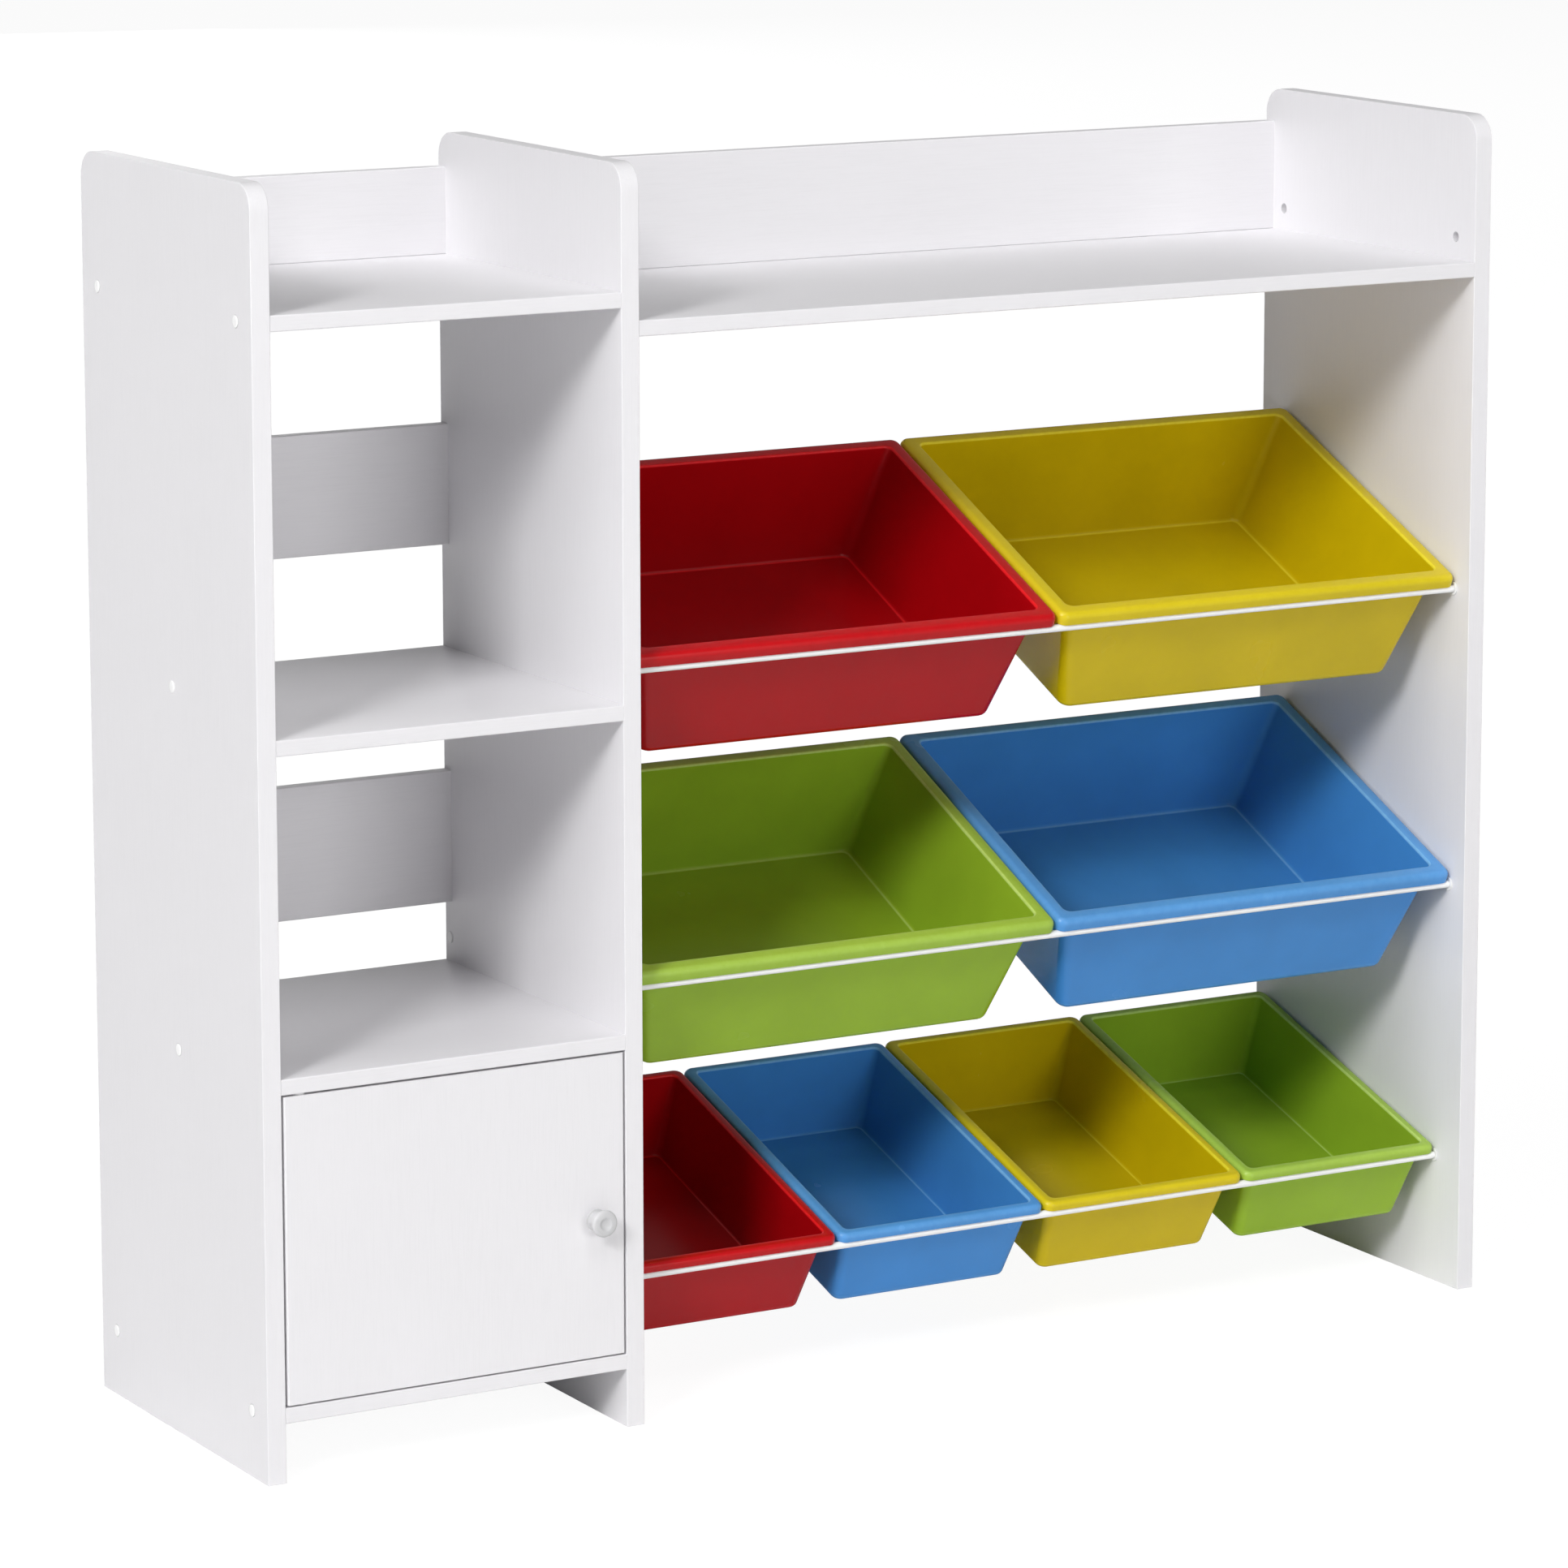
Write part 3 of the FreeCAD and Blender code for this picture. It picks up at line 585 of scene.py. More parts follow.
# %% The rim's loops
def rim_loops(size):
    """Loops of the rim: out under it, down the lip and back over its roll."""
    loops = [([size["top"] - 2 * SOFT] * 3, size["top_r"] + 2 * SOFT, -RIM_T, 0.0)]
    roll = size["roll"]
    bend = roll - RIM_T
    foot = -size["lip"] - STOP_H
    section = []
    for angle in (90, 60, 30, 0):
        turn = math.radians(angle)
        section.append((LIP_T + bend * (1 - math.cos(turn)),
                        -RIM_T - bend * (1 - math.sin(turn)), 0.0))
    section += [(LIP_T, foot + SOFT, 0.0),
                (LIP_T - SOFT, foot, EDGE_LIP_FOOT),
                (SOFT, foot, EDGE_LIP_FOOT),
                (0.0, foot + SOFT, EDGE_LIP_FOOT),
                (0.0, -size["lip"], EDGE_LIP)]
    for angle in ROLL_ANGLES:
        turn = math.radians(angle)
        section.append((roll * (1 - math.cos(turn)), -roll * (1 - math.sin(turn)),
                        EDGE_ROLL + EDGE_ROLL_CREST * math.sin(2 * turn)))
    for inset, height, edge in section:
        loops.append(([inset] * 3, RIM_R - inset, height, edge))
    flat_end = size["top"] + WALL - MOUTH_R
    loops.append(([flat_end] * 3, size["top_r"] - WALL + MOUTH_R, 0.0, EDGE_RIM_END))
    return loops


# %% All the loops, and the mesh
def bin_loops(size):
    """(insets, radius, height, edge) from the outside bottom round to the floor."""
    outer_r = size["bottom_r"] / 2
    inner_r = outer_r - WALL
    floor = size["depth"] - WALL
    insets, radius = wall_loop(size, size["depth"], outer_r + HOLD)
    loops = [(insets, radius, -size["depth"], 0.0)]
    for angle in reversed(FILLET_ANGLES):
        turn = math.radians(angle)
        down = size["depth"] - outer_r + outer_r * math.sin(turn)
        insets, radius = wall_loop(size, down, outer_r * (1 - math.cos(turn)))
        loops.append((insets, radius, -down, EDGE_BOTTOM))
    for down in (size["depth"] - outer_r - HOLD, RIM_T + 2 * SOFT + HOLD, RIM_T + 2 * SOFT):
        insets, radius = wall_loop(size, down, 0)
        loops.append((insets, radius, -down, 0.0))
    loops += rim_loops(size)
    for angle in (60, 30, 0):
        turn = math.radians(angle)
        down = MOUTH_R * (1 - math.sin(turn))
        insets, radius = wall_loop(size, down, WALL - MOUTH_R * (1 - math.cos(turn)))
        loops.append((insets, radius, -down, EDGE_MOUTH))
    for down in (MOUTH_R + HOLD, floor - inner_r - HOLD):
        insets, radius = wall_loop(size, down, WALL)
        loops.append((insets, radius, -down, 0.0))
    for angle in FILLET_ANGLES:
        turn = math.radians(angle)
        down = floor - inner_r + inner_r * math.sin(turn)
        insets, radius = wall_loop(size, down, WALL + inner_r * (1 - math.cos(turn)))
        loops.append((insets, radius, -down, EDGE_FLOOR if 50 < angle < 80 else 0.0))
    insets, radius = wall_loop(size, floor, WALL + inner_r + HOLD)
    loops.append((insets, radius, -floor, 0.0))
    return loops


def bin_mesh(name, width, size):
    """Level bin with the front left corner of its rim at the origin."""
    bm = bmesh.new()
    edge_layer = bm.verts.layers.float.new("edge")
    matt_layer = bm.verts.layers.float.new("matt")
    rings = []
    for number, (insets, radius, height, edge) in enumerate(bin_loops(size)):
        ring = []
        for x, y in loop_points(width, size["length"], insets, max(radius, SOFT)):
            vert = bm.verts.new((x, y, height))
            vert[edge_layer] = edge
            vert[matt_layer] = 1.0 if number < UNDERSIDE_LOOPS else 0.0
            ring.append(vert)
        rings.append(ring)
    count = len(rings[0])
    for ring, following in zip(rings, rings[1:]):
        for index in range(count):
            after = (index + 1) % count
            bm.faces.new((ring[index], ring[after], following[after], following[index]))
    bm.faces.new(rings[0])
    bm.faces.new(reversed(rings[-1]))
    return mesh_from(name, bm)


# %% [markdown]
# Every lip is made as deep as the stops. A Boolean, which suits a square step,
# then cuts it short at the front and the rear, where it stands on the rods. The
# side lips stay deeper between the rods, so a bin can't slide off forwards.

# %% Lips cut short over the rods
ROD_REACH = 6.3 * MM         # how far the short lips go, front to rear
PAST_RIM = 2.0 * MM          # how far the blocks stick out past the rim


def trim_lips(piece, width, size):
    """Leaves the side lips deeper between the rods than the lips that stand on them."""
    bm = bmesh.new()
    height = 2 * STOP_H
    middle_y = (ROD_REACH - PAST_RIM) / 2
    extent = (width + 2 * PAST_RIM, ROD_REACH + PAST_RIM, height, 1)
    for y in (middle_y, size["length"] - middle_y):
        place = Matrix.Translation((width / 2, y, -size["lip"] - height / 2))
        place = place @ Matrix.Diagonal(extent)
        bmesh.ops.create_cube(bm, size=1, matrix=place)
    cut_away(piece, bm)


# %% [markdown]
# A bin is modelled level and then tipped. The joint that lifts it points square
# to its rim, so its slope is read from that joint's axis. Its width and height
# come from the solid that it replaces.

# %% Put the bins on their slopes
SHARP_OVER = 40              # degrees: an edge sharper than this stays crisp
for hue_and_size in [body for body in frame["bodies"] if body.endswith("_bin")]:
    hue, kind, _ = hue_and_size.split("_")
    sizes = LARGE if kind == "large" else SMALL
    size = {key: value * MM for key, value in sizes.items()}
    low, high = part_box(hue_and_size)
    width = high.x - low.x
    lift = Vector(joints[hue_and_size]["axis"])
    slope = math.atan2(-lift.y, lift.z)
    piece = bin_mesh(f"{hue}_{kind}_tub", width, size)
    trim_lips(piece, width, size)
    corner = Vector((low.x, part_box("side_panel_left")[0].y + size["front_y"], 0))
    rear_roll = size["roll"] * (1 - math.cos(slope))
    corner.z = high.z - (size["length"] - size["roll"]) * math.sin(slope) - rear_roll
    piece.data.transform(Matrix.Translation(corner) @ Matrix.Rotation(slope, 4, "X"))
    smooth(piece, SHARP_OVER)
    finish_piece(piece, hue_and_size, bin_finish[hue], f"{hue}_plastic", hue_and_size)

# %% [markdown]
# ## Turned pieces
# Rods, the knob and the cups are all turned: a half section spun round an
# axis. A short lathe does them all. It takes (radius, height) points, so that
# each profile reads like a drawing of the part, and closes the poles.


# %% A lathe
def lathe(name, profile, start, axis, steps=48):
    """Turned piece from (radius, height) points along an axis from a start point."""
    bm = bmesh.new()
    turn = Vector((0, 0, 1)).rotation_difference(Vector(axis)).to_matrix().to_4x4()
    place = Matrix.Translation(start) @ turn
    angles = [2 * math.pi * step / steps for step in range(steps)]
    rings = []
    for radius, height in profile:
        spots = [(0, 0)] if radius == 0 else [
            (radius * math.cos(angle), radius * math.sin(angle)) for angle in angles]
        rings.append([bm.verts.new(place @ Vector((x, y, height))) for x, y in spots])
    for ring, following in zip(rings, rings[1:]):
        for step in range(steps):
            after = (step + 1) % steps
            corners = [ring[step % len(ring)], ring[after % len(ring)],
                       following[after % len(following)], following[step % len(following)]]
            # At a pole two corners are the same point, and the face is a triangle
            unique = list(dict.fromkeys(corners))
            if len(unique) > 2:
                bm.faces.new(unique)
    return mesh_from(name, bm)


# %% [markdown]
# A rod is the simplest turned piece, with chamfered ends that hide in the
# panels' blind holes. Its place, length and thickness come from the solid.

# %% Rods
CHAMFER = 0.6 * MM
for node in [name for name in nodes if "_rod_" in name]:
    low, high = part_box(node)
    radius = (high.z - low.z) / 2
    length = high.x - low.x
    profile = [(0, 0), (radius - CHAMFER, 0), (radius, CHAMFER), (radius, length / 2),
               (radius, length - CHAMFER), (radius - CHAMFER, length), (0, length)]
    start = Vector((low.x, (low.y + high.y) / 2, (low.z + high.z) / 2))
    piece = lathe(node.replace("rod", "bar"), profile, start, (1, 0, 0))
    smooth(piece, SHARP_OVER)
    finish_piece(piece, "shelf_frame", white_rod, "white_steel", node)

# %% [markdown]
# The knob is a small mushroom. Its section is a smooth curve, so the profile
# is made of arcs: a flared foot on the door, a slim neck, and a grip whose rim
# is a half round. The face has a shallow dish, which the photograph shows as a
# small ring of light and shade.


# %% An arc for profiles
def arc(centre, radius, start, end, steps=8):
    """(radius, height) points on an arc, angles in degrees from the radial axis."""
    points = []
    for step in range(steps + 1):
        angle = math.radians(start + (end - start) * step / steps)
        points.append((centre[0] + radius * math.cos(angle),
                       centre[1] + radius * math.sin(angle)))
    return points


# %% Knob
low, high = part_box("door_knob")
grip_r = (high.x - low.x) / 2
reach = high.y - low.y
FOOT_R = 8.5 * MM
FOOT_H = 0.8 * MM
NECK_R = 7.0 * MM
FLARE_R = 1.7 * MM           # from the foot into the neck
THROAT_R = 2.0 * MM          # from the neck out under the grip
GRIP_ROUND = 2.6 * MM        # half round of the grip's rim
FACE_CROWN = 0.35 * MM       # the face stands this much above the half round
dish = grip_r * 0.42         # radius of the dish
DISH_WALL = ((1.2, 0.0), (0.4, 0.1), (0.0, 0.5), (-0.8, 0.9))   # mm out, mm deep
DISH_DEPTH = 1.1 * MM

under_grip = reach - 2 * GRIP_ROUND - THROAT_R
profile = [(0, 0), (FOOT_R, 0), (FOOT_R, FOOT_H)]
profile += arc((NECK_R + FLARE_R, 2.6 * MM), FLARE_R, 240, 180, 5)
profile += [(NECK_R, under_grip - 1.0 * MM)]
profile += arc((NECK_R + THROAT_R, under_grip), THROAT_R, 180, 110, 5)
profile += arc((grip_r - GRIP_ROUND, reach - GRIP_ROUND - FACE_CROWN), GRIP_ROUND,
               -70, 90, 12)
profile += [(dish + out * MM, reach - deep * MM) for out, deep in DISH_WALL]
profile += [(dish * 0.4, reach - DISH_DEPTH), (0, reach - DISH_DEPTH)]
start = Vector(((low.x + high.x) / 2, high.y, (low.z + high.z) / 2))
knob = lathe("turned_knob", profile, start, (0, -1, 0), 64)
smooth(knob, 50)
finish_piece(knob, "door", knob_plastic, "white_plastic", "door_knob")

# %% [markdown]
# ## Small fittings, set out with Geometry Nodes
# Caps, cups and cams come in dozens of equal pieces, which is what Geometry
# Nodes are for. The points carry two things: where a fitting sits, and which
# way it faces. The places are read from the node of the solids, one mesh that
# is first parted into its separate islands.

# %% Places of equal solids
def islands(mesh):
    """Separate solids of a mesh, each as a list of points."""
    parent = list(range(len(mesh.vertices)))

    def root(index):
        while parent[index] != index:
            parent[index] = parent[parent[index]]
            index = parent[index]
        return index

    spots = {}
    for vertex in mesh.vertices:
        key = tuple(round(value, 6) for value in vertex.co)
        parent[root(vertex.index)] = root(spots.setdefault(key, vertex.index))
    for a, b in mesh.edge_keys:
        parent[root(a)] = root(b)
    groups = {}
    for vertex in mesh.vertices:
        groups.setdefault(root(vertex.index), []).append(vertex.co)
    return list(groups.values())


def island_boxes(node):
    """(low, high) corners of each separate solid of a node."""
    boxes = []
    for points in islands(nodes[node].data):
        low = Vector(min(p[axis] for p in points) for axis in range(3))
        high = Vector(max(p[axis] for p in points) for axis in range(3))
        boxes.append((low, high))
    return boxes


# %% Points that carry a direction
def point_cloud(name, places):
    """Mesh of points, each with a facing direction."""
    mesh = bpy.data.meshes.new(name)
    mesh.from_pydata([place for place, _ in places], [], [])
    facing = mesh.attributes.new("facing", "FLOAT_VECTOR", "POINT")
    for index, (_, direction) in enumerate(places):
        facing.data[index].vector = direction
    cloud = bpy.data.objects.new(name, mesh)
    bpy.context.scene.collection.objects.link(cloud)
    return cloud


# %% [markdown]
# A screw cap is a disc with a low dome. Its shape follows one rule, a radius
# and a height, so nodes make it: a flat disc is drawn up in small steps, and
# its top is drawn in a little more at each. The first disc, turned over,
# closes it underneath.

# %% A dome made of nodes
DOME_SIDES = 32
DOME_STEPS = ((0.46, 1.0), (0.28, 0.94), (0.16, 0.84), (0.10, 0.60))  # height, top kept
WELD = 0.01 * MM


def dome_shape(tree, radius, rise):
    """Domed disc from a radius and a height socket; gives its geometry."""
    disc = add_node(tree, "GeometryNodeMeshCircle", Vertices=DOME_SIDES, Radius=radius)
    disc.fill_type = "NGON"
    disc = disc.outputs["Mesh"]
    shape, top = disc, None
    for share, keep in DOME_STEPS:
        grow = add_node(tree, "GeometryNodeExtrudeMesh", Mesh=shape,
                        Offset_Scale=combined(tree, "MULTIPLY", rise, share))
        if top:
            plug(tree, grow, Selection=top)
        top = grow.outputs["Top"]
        shape = add_node(tree, "GeometryNodeScaleElements", Geometry=grow.outputs["Mesh"],
                         Selection=top, Scale=keep).outputs["Geometry"]
    base = add_node(tree, "GeometryNodeFlipFaces", Mesh=disc).outputs["Mesh"]
    both = add_node(tree, "GeometryNodeJoinGeometry", Geometry=shape)
    plug(tree, both, Geometry=base)
    return add_node(tree, "GeometryNodeMergeByDistance", Geometry=both.outputs["Geometry"],
                    Distance=WELD).outputs["Geometry"]


# %% [markdown]
# One tree serves every fitting: it puts the piece on each point, aims it the
# way the point faces, turns it by chance with a fixed seed, makes the copies
# real and gives them their finish. One version makes the dome itself, and one
# is given a modelled pattern piece.

# %% The tree
FLOAT_MAX, FLOAT_VALUE = 3, 1     # a Random Value node's sockets for plain numbers


def fitting_tree(dome):
    """Puts a dome, or a given pattern piece, on every point."""
    tree = bpy.data.node_groups.new("domed_caps" if dome else "pattern_fittings",
                                    "GeometryNodeTree")
    sockets = [("Points", "Geometry"), ("Finish", "Material"), ("Seed", "Int"),
               ("Turn", "Float")]
    sockets += [("Radius", "Float"), ("Height", "Float")] if dome else [("Pattern", "Object")]
    for label, kind in sockets:
        tree.interface.new_socket(label, in_out="INPUT", socket_type="NodeSocket" + kind)
    tree.interface.new_socket("Fittings", in_out="OUTPUT", socket_type="NodeSocketGeometry")
    given = add_node(tree, "NodeGroupInput").outputs
    if dome:
        fitting = dome_shape(tree, given["Radius"], given["Height"])
    else:
        pattern = add_node(tree, "GeometryNodeObjectInfo", Object=given["Pattern"])
        fitting = pattern.outputs["Geometry"]
    direction = add_node(tree, "GeometryNodeInputNamedAttribute", Name="facing")
    direction.data_type = "FLOAT_VECTOR"
    aim = add_node(tree, "FunctionNodeAlignRotationToVector",
                   Vector=direction.outputs["Attribute"])
    aim.axis = "Z"
    place = add_node(tree, "GeometryNodeInstanceOnPoints", Points=given["Points"],
                     Instance=fitting, Rotation=aim.outputs["Rotation"])
    chance = add_node(tree, "FunctionNodeRandomValue", Seed=given["Seed"])
    feed(tree, chance.inputs[FLOAT_MAX], given["Turn"])
    spin = add_node(tree, "ShaderNodeCombineXYZ", Z=chance.outputs[FLOAT_VALUE])
    turn = add_node(tree, "GeometryNodeRotateInstances", Instances=place.outputs["Instances"],
                    Rotation=spin.outputs["Vector"])
    real = add_node(tree, "GeometryNodeRealizeInstances", Geometry=turn.outputs["Instances"])
    paint = add_node(tree, "GeometryNodeSetMaterial", Geometry=real.outputs["Geometry"],
                     Material=given["Finish"])
    add_node(tree, "NodeGroupOutput", Fittings=paint.outputs["Geometry"])
    return tree


# %% Run a tree on its points
def set_out(name, places, tree, **values):
    """Runs a fitting tree on points and keeps the result as a plain mesh."""
    cloud = point_cloud(name + "_points", places)
    modifier = cloud.modifiers.new("fittings", "NODES")
    modifier.node_group = tree
    for item in tree.interface.items_tree:
        if item.in_out == "INPUT" and item.name in values:
            modifier[item.identifier] = values[item.name]
    shape = cloud.evaluated_get(bpy.context.evaluated_depsgraph_get())
    mesh = bpy.data.meshes.new_from_object(shape)
    bpy.data.objects.remove(cloud)
    mesh.name = name
    piece = bpy.data.objects.new(name, mesh)
    bpy.context.scene.collection.objects.link(piece)
    print(name, len(places), "places")
    return piece


cap_tree = fitting_tree(dome=True)
pattern_tree = fitting_tree(dome=False)
print("trees", cap_tree.name, pattern_tree.name)

# %% [markdown]
# A cap sits on a face of an upright, over a screw head or a spare hole, and the
# nearest face tells which way it looks. It is a hair lower than the solid, so it
# stays inside its box.

# %% Caps
UPRIGHTS = ("side_panel_left", "divider_panel", "side_panel_right")
HAIR_LOWER = 0.98


def nearest_face(x):
    """Place in x of the panel face nearest to a fitting, and the side it looks to."""
    faces = []
    for node in UPRIGHTS:
        low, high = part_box(node)
        faces += [(abs(x - low.x), low.x, -1), (abs(x - high.x), high.x, 1)]
    return min(faces)[1:]


cap_places = []
for low, high in island_boxes("screw_caps"):
    middle = (low + high) / 2
    face_x, side = nearest_face(middle.x)
    cap_places.append((Vector((face_x, middle.y, middle.z)), Vector((side, 0, 0))))
    cap_r = (high.z - low.z) / 2
    cap_h = high.x - low.x
caps = set_out("domed_caps", cap_places, cap_tree, Finish=cap_plastic, Seed=3,
               Turn=0.0, Radius=cap_r, Height=cap_h * HAIR_LOWER)
smooth(caps, 50)
finish_piece(caps, "shelf_frame", cap_plastic, "white_plastic", "screw_caps")

# %% [markdown]
# Each rod end sits in a flanged cup pressed into the panel. The cup is a ring
# in section, so its profile is closed and never meets the axis. It is turned
# once on the lathe, and the tree puts a copy at all twelve rod ends.

# %% Cups round the rod ends
ORIGIN, UPWARDS = Vector((0, 0, 0)), (0, 0, 1)
ROD_R = 3.0 * MM
CUP_R = 4.0 * MM
CUP_SEAT = 8.0 * MM          # depth in the panel
FLANGE_R = 5.5 * MM
FLANGE_T = 1.2 * MM
FLANGE_ROUND = 0.5 * MM
cup_profile = [(ROD_R, -CUP_SEAT), (CUP_R, -CUP_SEAT), (CUP_R, 0), (FLANGE_R, 0)]
cup_profile += arc((FLANGE_R - FLANGE_ROUND, FLANGE_T - FLANGE_ROUND), FLANGE_ROUND, 0, 90, 5)
# The mouth round the rod is eased in two steps
cup_profile += [(ROD_R + 0.9 * MM, FLANGE_T), (ROD_R + 0.45 * MM, FLANGE_T - 0.1 * MM),
                (ROD_R, FLANGE_T - 0.5 * MM), (ROD_R, -CUP_SEAT)]
cup = lathe("cup_pattern", cup_profile, ORIGIN, UPWARDS, 40)
smooth(cup, SHARP_OVER)
cup_places = []
for low, high in island_boxes("rod_end_cups"):
    face_x, side = nearest_face((low.x + high.x) / 2)
    inner = -1 if face_x > 0 else 1
    centre = (low + high) / 2
    flange_x = low.x + CUP_SEAT if inner > 0 else high.x - CUP_SEAT
    cup_places.append((Vector((flange_x, centre.y, centre.z)), Vector((inner, 0, 0))))
cups = set_out("flanged_cups", cup_places, pattern_tree, Finish=white_plastic, Seed=1,
               Turn=0.0, Pattern=cup)
bpy.data.objects.remove(cup)
smooth(cups, SHARP_OVER)
finish_piece(cups, "shelf_frame", white_plastic, "white_plastic", "rod_end_cups")

# %% [markdown]
# The cams show on the rear faces of the rails and strips, and under two
# shelves. Each is a zinc disc with a cross-shaped driver recess and a small
# nick on the side of its arrow. They were turned by hand at assembly, so each
# one stands at its own angle: the tree turns them by chance, with a fixed seed.


# %% A cam
BREAK = 0.5 * MM             # bevel round the face
FACE_STEP = 0.25 * MM        # the middle of the face lies this much lower
CROSS = (1.5 * MM, 4.4 * MM)          # width of a slot, and height of its cutter
NICK = (1.1 * MM, 1.1 * MM, 0.8 * MM)


def cam_pattern(radius, depth):
    """Disc with a bevelled edge and a cross recess, its face at height 0."""
    profile = [(0, -depth), (radius, -depth), (radius, -BREAK), (radius - BREAK, 0),
               (radius * 0.62, 0), (radius * 0.58, -FACE_STEP), (0, -FACE_STEP)]
    disc = lathe("cam_pattern", profile, ORIGIN, UPWARDS, 36)
    bm = bmesh.new()
    for turn in (0, 90):
        place = Matrix.Rotation(math.radians(turn), 4, "Z")
        place = place @ Matrix.Diagonal((radius, *CROSS, 1))
        bmesh.ops.create_cube(bm, size=1, matrix=place)
    place = Matrix.Translation((radius * 0.82, 0, 0))
    place = place @ Matrix.Rotation(math.radians(45), 4, "Z") @ Matrix.Diagonal((*NICK, 1))
    bmesh.ops.create_cube(bm, size=1, matrix=place)
    cut_away(disc, bm, overlapping=True)
    return disc


# %% Set out the cams
CAM_R = 7.4 * MM
CAM_DEPTH = 9.5 * MM
cam = cam_pattern(CAM_R, CAM_DEPTH)
cam_places = []
for low, high in island_boxes("cam_discs"):
    centre = (low + high) / 2
    if high.y - low.y < high.z - low.z:
        cam_places.append((Vector((centre.x, high.y, centre.z)), Vector((0, 1, 0))))
    else:
        cam_places.append((Vector((centre.x, centre.y, low.z)), Vector((0, 0, -1))))
cams = set_out("turned_cams", cam_places, pattern_tree, Finish=zinc, Seed=11,
               Turn=2 * math.pi, Pattern=cam)
bpy.data.objects.remove(cam)
smooth(cams, 35)
finish_piece(cams, "shelf_frame", zinc, "zinc_steel", "cam_discs")

# %% [markdown]
# ## The catch
# Behind the door, a small white case with two screw ears holds a magnet
# between two steel pole plates, and a steel strike plate on the door meets
# them. Cases like this are soft-edged mouldings, so each block gets a bevel.


# %% Bevelled blocks
def block(bm, low, high):
    """Adds a box between two corners."""
    centre = (Vector(low) + Vector(high)) / 2
    size = Vector(high) - Vector(low)
    place = Matrix.Translation(centre) @ Matrix.Diagonal((*size, 1))
    bmesh.ops.create_cube(bm, size=1, matrix=place)


def soften(piece, width, segments=3):
    """Rounds a piece's edges."""
    bevel = piece.modifiers.new("soft_edges", "BEVEL")
    bevel.width = width
    bevel.segments = segments
    bevel.limit_method = "ANGLE"
    apply_modifiers(piece)
    smooth(piece, 45)


# %% The catch
EAR = 8.0 * MM               # length of a screw ear
EAR_T = 3.0 * MM
POLE_T = 2.0 * MM
POLE_INSET = 1.5 * MM        # from the end of the case
POLE_PROUD = 0.15 * MM       # how far the poles stand out of the case
POLE_DEEP = 3.0 * MM
FROM_FLOOR, FROM_ROOF = 2.4 * MM, 4.4 * MM      # of the case to the poles' undersides

low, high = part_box("magnetic_catch")
bm = bmesh.new()
block(bm, (low.x + EAR, low.y, low.z), (high.x - EAR, high.y, high.z))
for left, right in ((low.x, low.x + EAR), (high.x - EAR, high.x)):
    block(bm, (left, low.y + EAR_T, high.z - EAR_T), (right, high.y - EAR_T, high.z))
case = mesh_from("catch_case", bm)
soften(case, 0.7 * MM)
finish_piece(case, "shelf_frame", white_plastic, "white_plastic", "magnetic_catch")
bm = bmesh.new()
for z in (low.z + FROM_FLOOR, high.z - FROM_ROOF):
    block(bm, (low.x + EAR + POLE_INSET, low.y - POLE_PROUD, z),
          (high.x - EAR - POLE_INSET, low.y + POLE_DEEP, z + POLE_T))
poles = mesh_from("catch_poles", bm)
soften(poles, 0.25 * MM)
finish_piece(poles, "shelf_frame", zinc, "zinc_steel")

# %% The strike plate on the door
low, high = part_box("catch_strike_plate")
bm = bmesh.new()
block(bm, low, high)
strike = mesh_from("strike_plate", bm)
soften(strike, 0.4 * MM)
finish_piece(strike, "door", zinc, "zinc_steel", "catch_strike_plate")

# %% [markdown]
# ## Floor, light and camera
# The photograph is a catalogue picture: white all round, with soft light from
# above and in front. The floor is plain and pale. It answers the camera partly
# with plain white, so that it meets the white behind it without a line, and it
# keeps the soft shadow under the boards.

# %% Floor
FLOOR_SIZE = 40.0
FLOOR_PAINT = (0.88, 0.88, 0.88)
FLOOR_GLOW = 1.13            # strength of the white that the camera sees
GLOW_SHARE = 0.82            # of that white in what the camera sees of the floor
bm = bmesh.new()
bmesh.ops.create_grid(bm, x_segments=1, y_segments=1, size=FLOOR_SIZE / 2)
floor = mesh_from("floor", bm)
paint, tree, shader = new_finish("pale_floor", FLOOR_PAINT, 0.9)
glow = add_node(tree, "ShaderNodeEmission", Color=(1, 1, 1, 1), Strength=FLOOR_GLOW)
rays = add_node(tree, "ShaderNodeLightPath")
share = ranged(tree, rays.outputs["Is Camera Ray"], low=0.0, high=GLOW_SHARE)
meet = add_node(tree, "ShaderNodeMixShader", Fac=share)
tree.links.new(shader.outputs[0], meet.inputs[1])
tree.links.new(glow.outputs[0], meet.inputs[2])
plug(tree, tree.nodes["Material Output"], Surface=meet.outputs[0])
floor.data.materials.append(paint)
print("floor", FLOOR_SIZE, "m")

# %% [markdown]
# The world is white to the camera and a faint fill to everything else, so the
# white background puts no light on the object. Gloss mirrors a share of it.

# %% World
AMBIENT = 0.065
MIRRORED = 0.22
world = bpy.data.worlds.new("soft_studio")
bpy.context.scene.world = world
world.use_nodes = True
tree = world.node_tree
sky = tree.nodes["Background"]
rays = add_node(tree, "ShaderNodeLightPath")
gloss = ranged(tree, rays.outputs["Is Glossy Ray"], low=0.0, high=MIRRORED)
seen = combined(tree, "MAXIMUM", rays.outputs["Is Camera Ray"], gloss)
plug(tree, sky, Color=(1, 1, 1, 1), Strength=ranged(tree, seen, low=AMBIENT, high=1.0))
print("world", world.name)

# %% [markdown]
# The lamps stand thirteen metres off, so both ends of the organizer are lit
# alike. The key lamp at the left is the strongest, and smaller than the others,
# which firms the shadows of the boards. The rest fill from above, from both
# sides, in front and behind. Together they are just strong enough for a colour
# to render about as it is written.


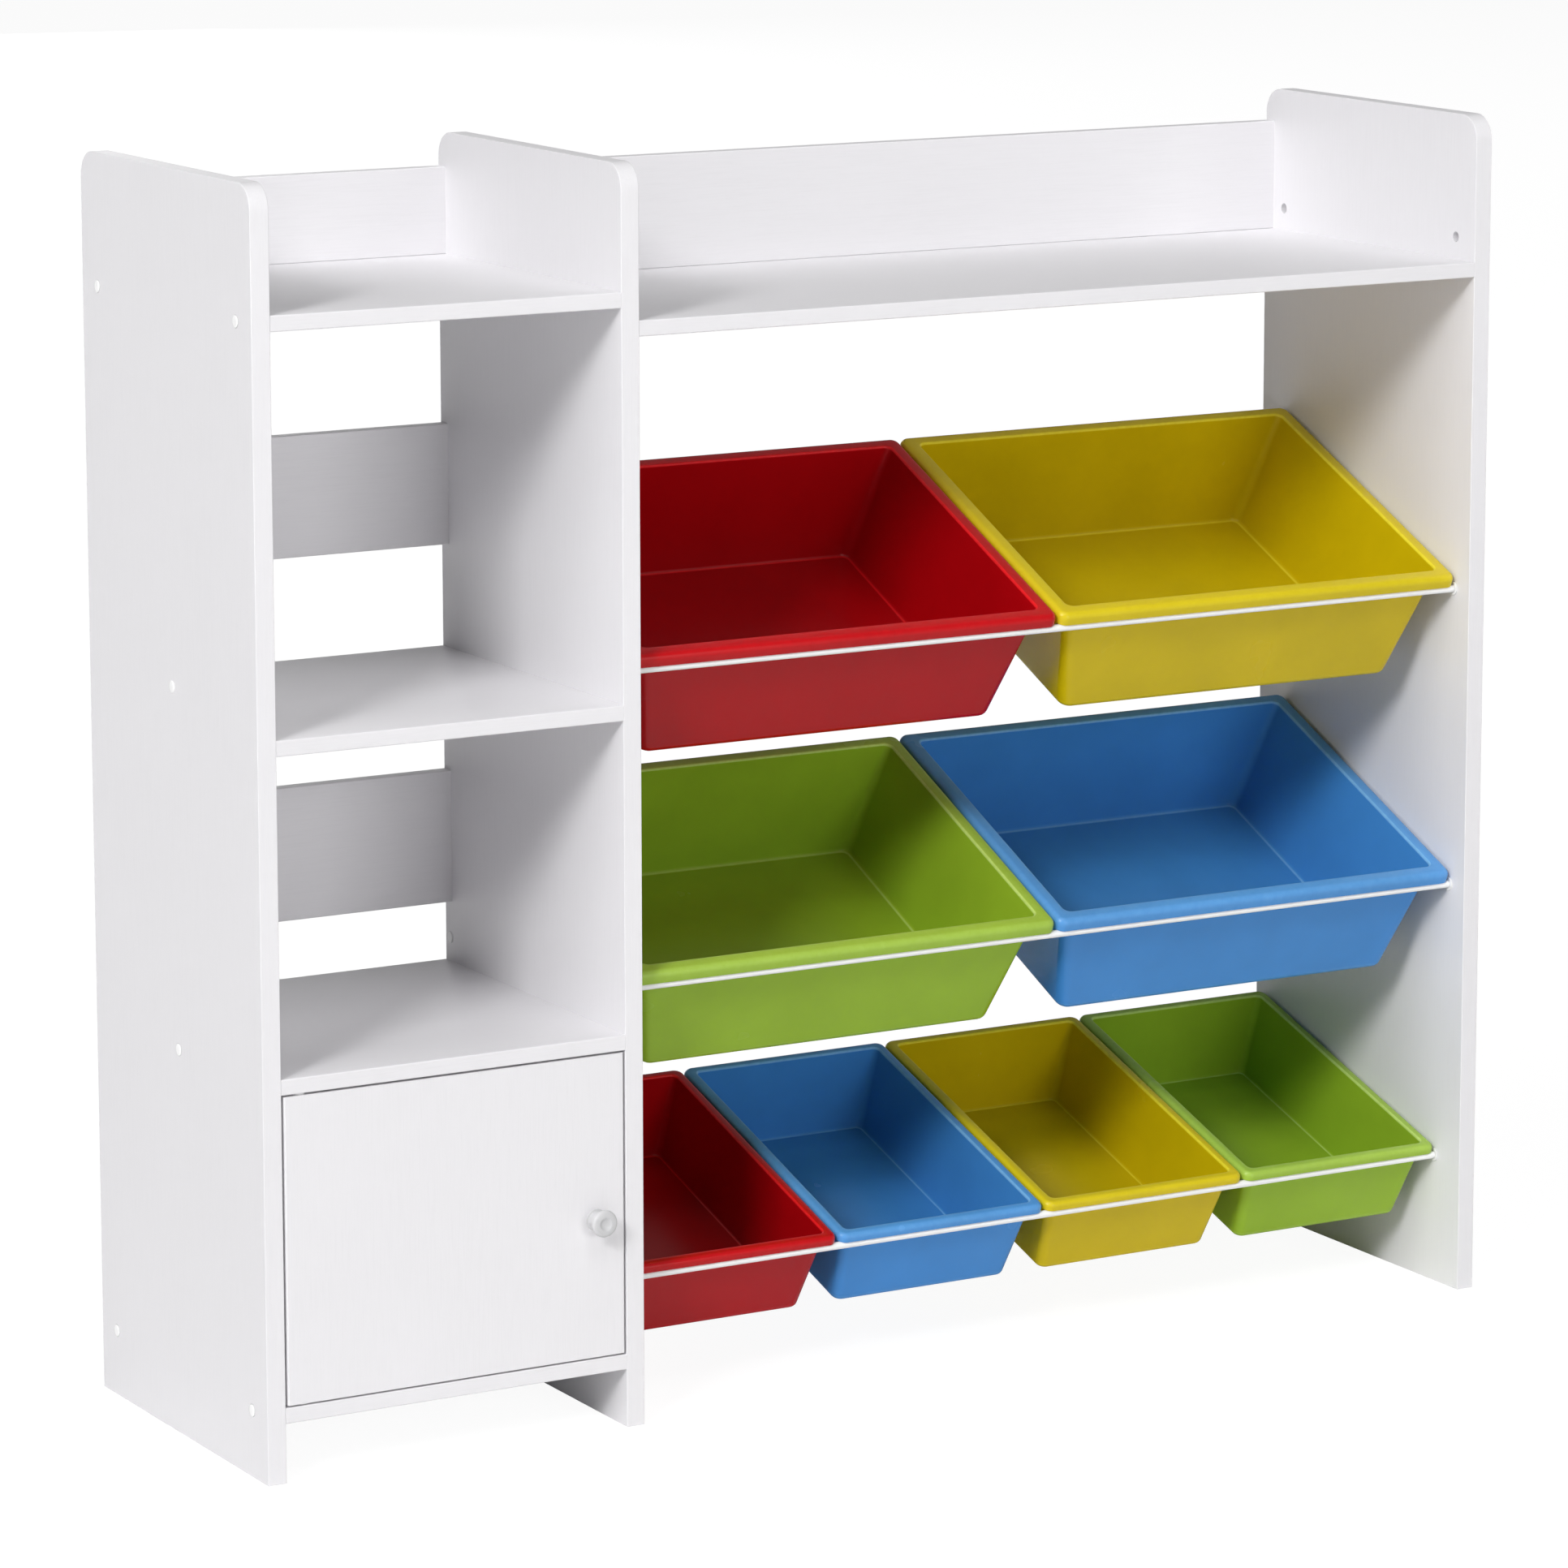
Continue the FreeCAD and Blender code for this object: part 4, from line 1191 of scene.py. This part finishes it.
# %% Lamps
WIDE = 4.9
LAMPS = (                    # name, place, side of the square, watts
    ("key_lamp", (-9.2, -6.5, 7.0), 2.8, 824),
    ("high_left_lamp", (-7.6, -3.5, 10.5), WIDE, 264),
    ("left_lamp", (-12.2, -3.1, 3.6), WIDE, 205),
    ("high_front_lamp", (-1.9, -7.2, 11.1), WIDE, 277),
    ("right_lamp", (2.2, -12.6, 2.8), WIDE, 383),
    ("top_lamp", (0.0, -0.5, 13.5), WIDE, 232),
    ("rear_lamp", (2.7, 12.6, 1.9), WIDE, 240),
    ("side_lamp", (12.9, 0.5, 2.1), WIDE, 260),
)
AIM = Vector((0, 0, 0.5))    # about the middle of the organizer


def soft_lamp(name, place, size, watts):
    """Square lamp aimed at the organizer."""
    lamp = bpy.data.lights.new(name, "AREA")
    lamp.shape = "SQUARE"
    lamp.size = size
    lamp.energy = watts
    stand = bpy.data.objects.new(name, lamp)
    stand.location = place
    stand.rotation_euler = (AIM - stand.location).to_track_quat("-Z", "Y").to_euler()
    bpy.context.scene.collection.objects.link(stand)


for lamp_sizes in LAMPS:
    soft_lamp(*lamp_sizes)
print("lamps", len(LAMPS))

# %% [markdown]
# The camera was solved from the edges of the boards in the photograph. It
# stands some five metres away, to the left of the organizer and a little above
# its top, with a long lens. The picture was cropped off its optical centre,
# which is what the small shift stands for.

# %% Camera
CAMERA_PLACE = (-2.4811, -4.3313, 1.4365)      # metres
CAMERA_TURN = (80.291, -0.051, -30.228)        # degrees
LENS = 148.6                                   # mm, on a sensor of
SENSOR = 36.0
SHIFT = (-0.0482, -0.1059)                     # in widths of the picture
SEES_TO = 100.0                                # metres
view = bpy.data.cameras.new("photo_camera")
view.lens = LENS
view.sensor_width = SENSOR
view.shift_x, view.shift_y = SHIFT
view.clip_end = SEES_TO
camera = bpy.data.objects.new("photo_camera", view)
camera.location = CAMERA_PLACE
camera.rotation_euler = Euler([math.radians(angle) for angle in CAMERA_TURN])
bpy.context.scene.collection.objects.link(camera)
bpy.context.scene.camera = camera
bpy.context.scene.view_settings.view_transform = "Standard"
print("camera, metres from the middle", round((camera.location - AIM).length, 2))
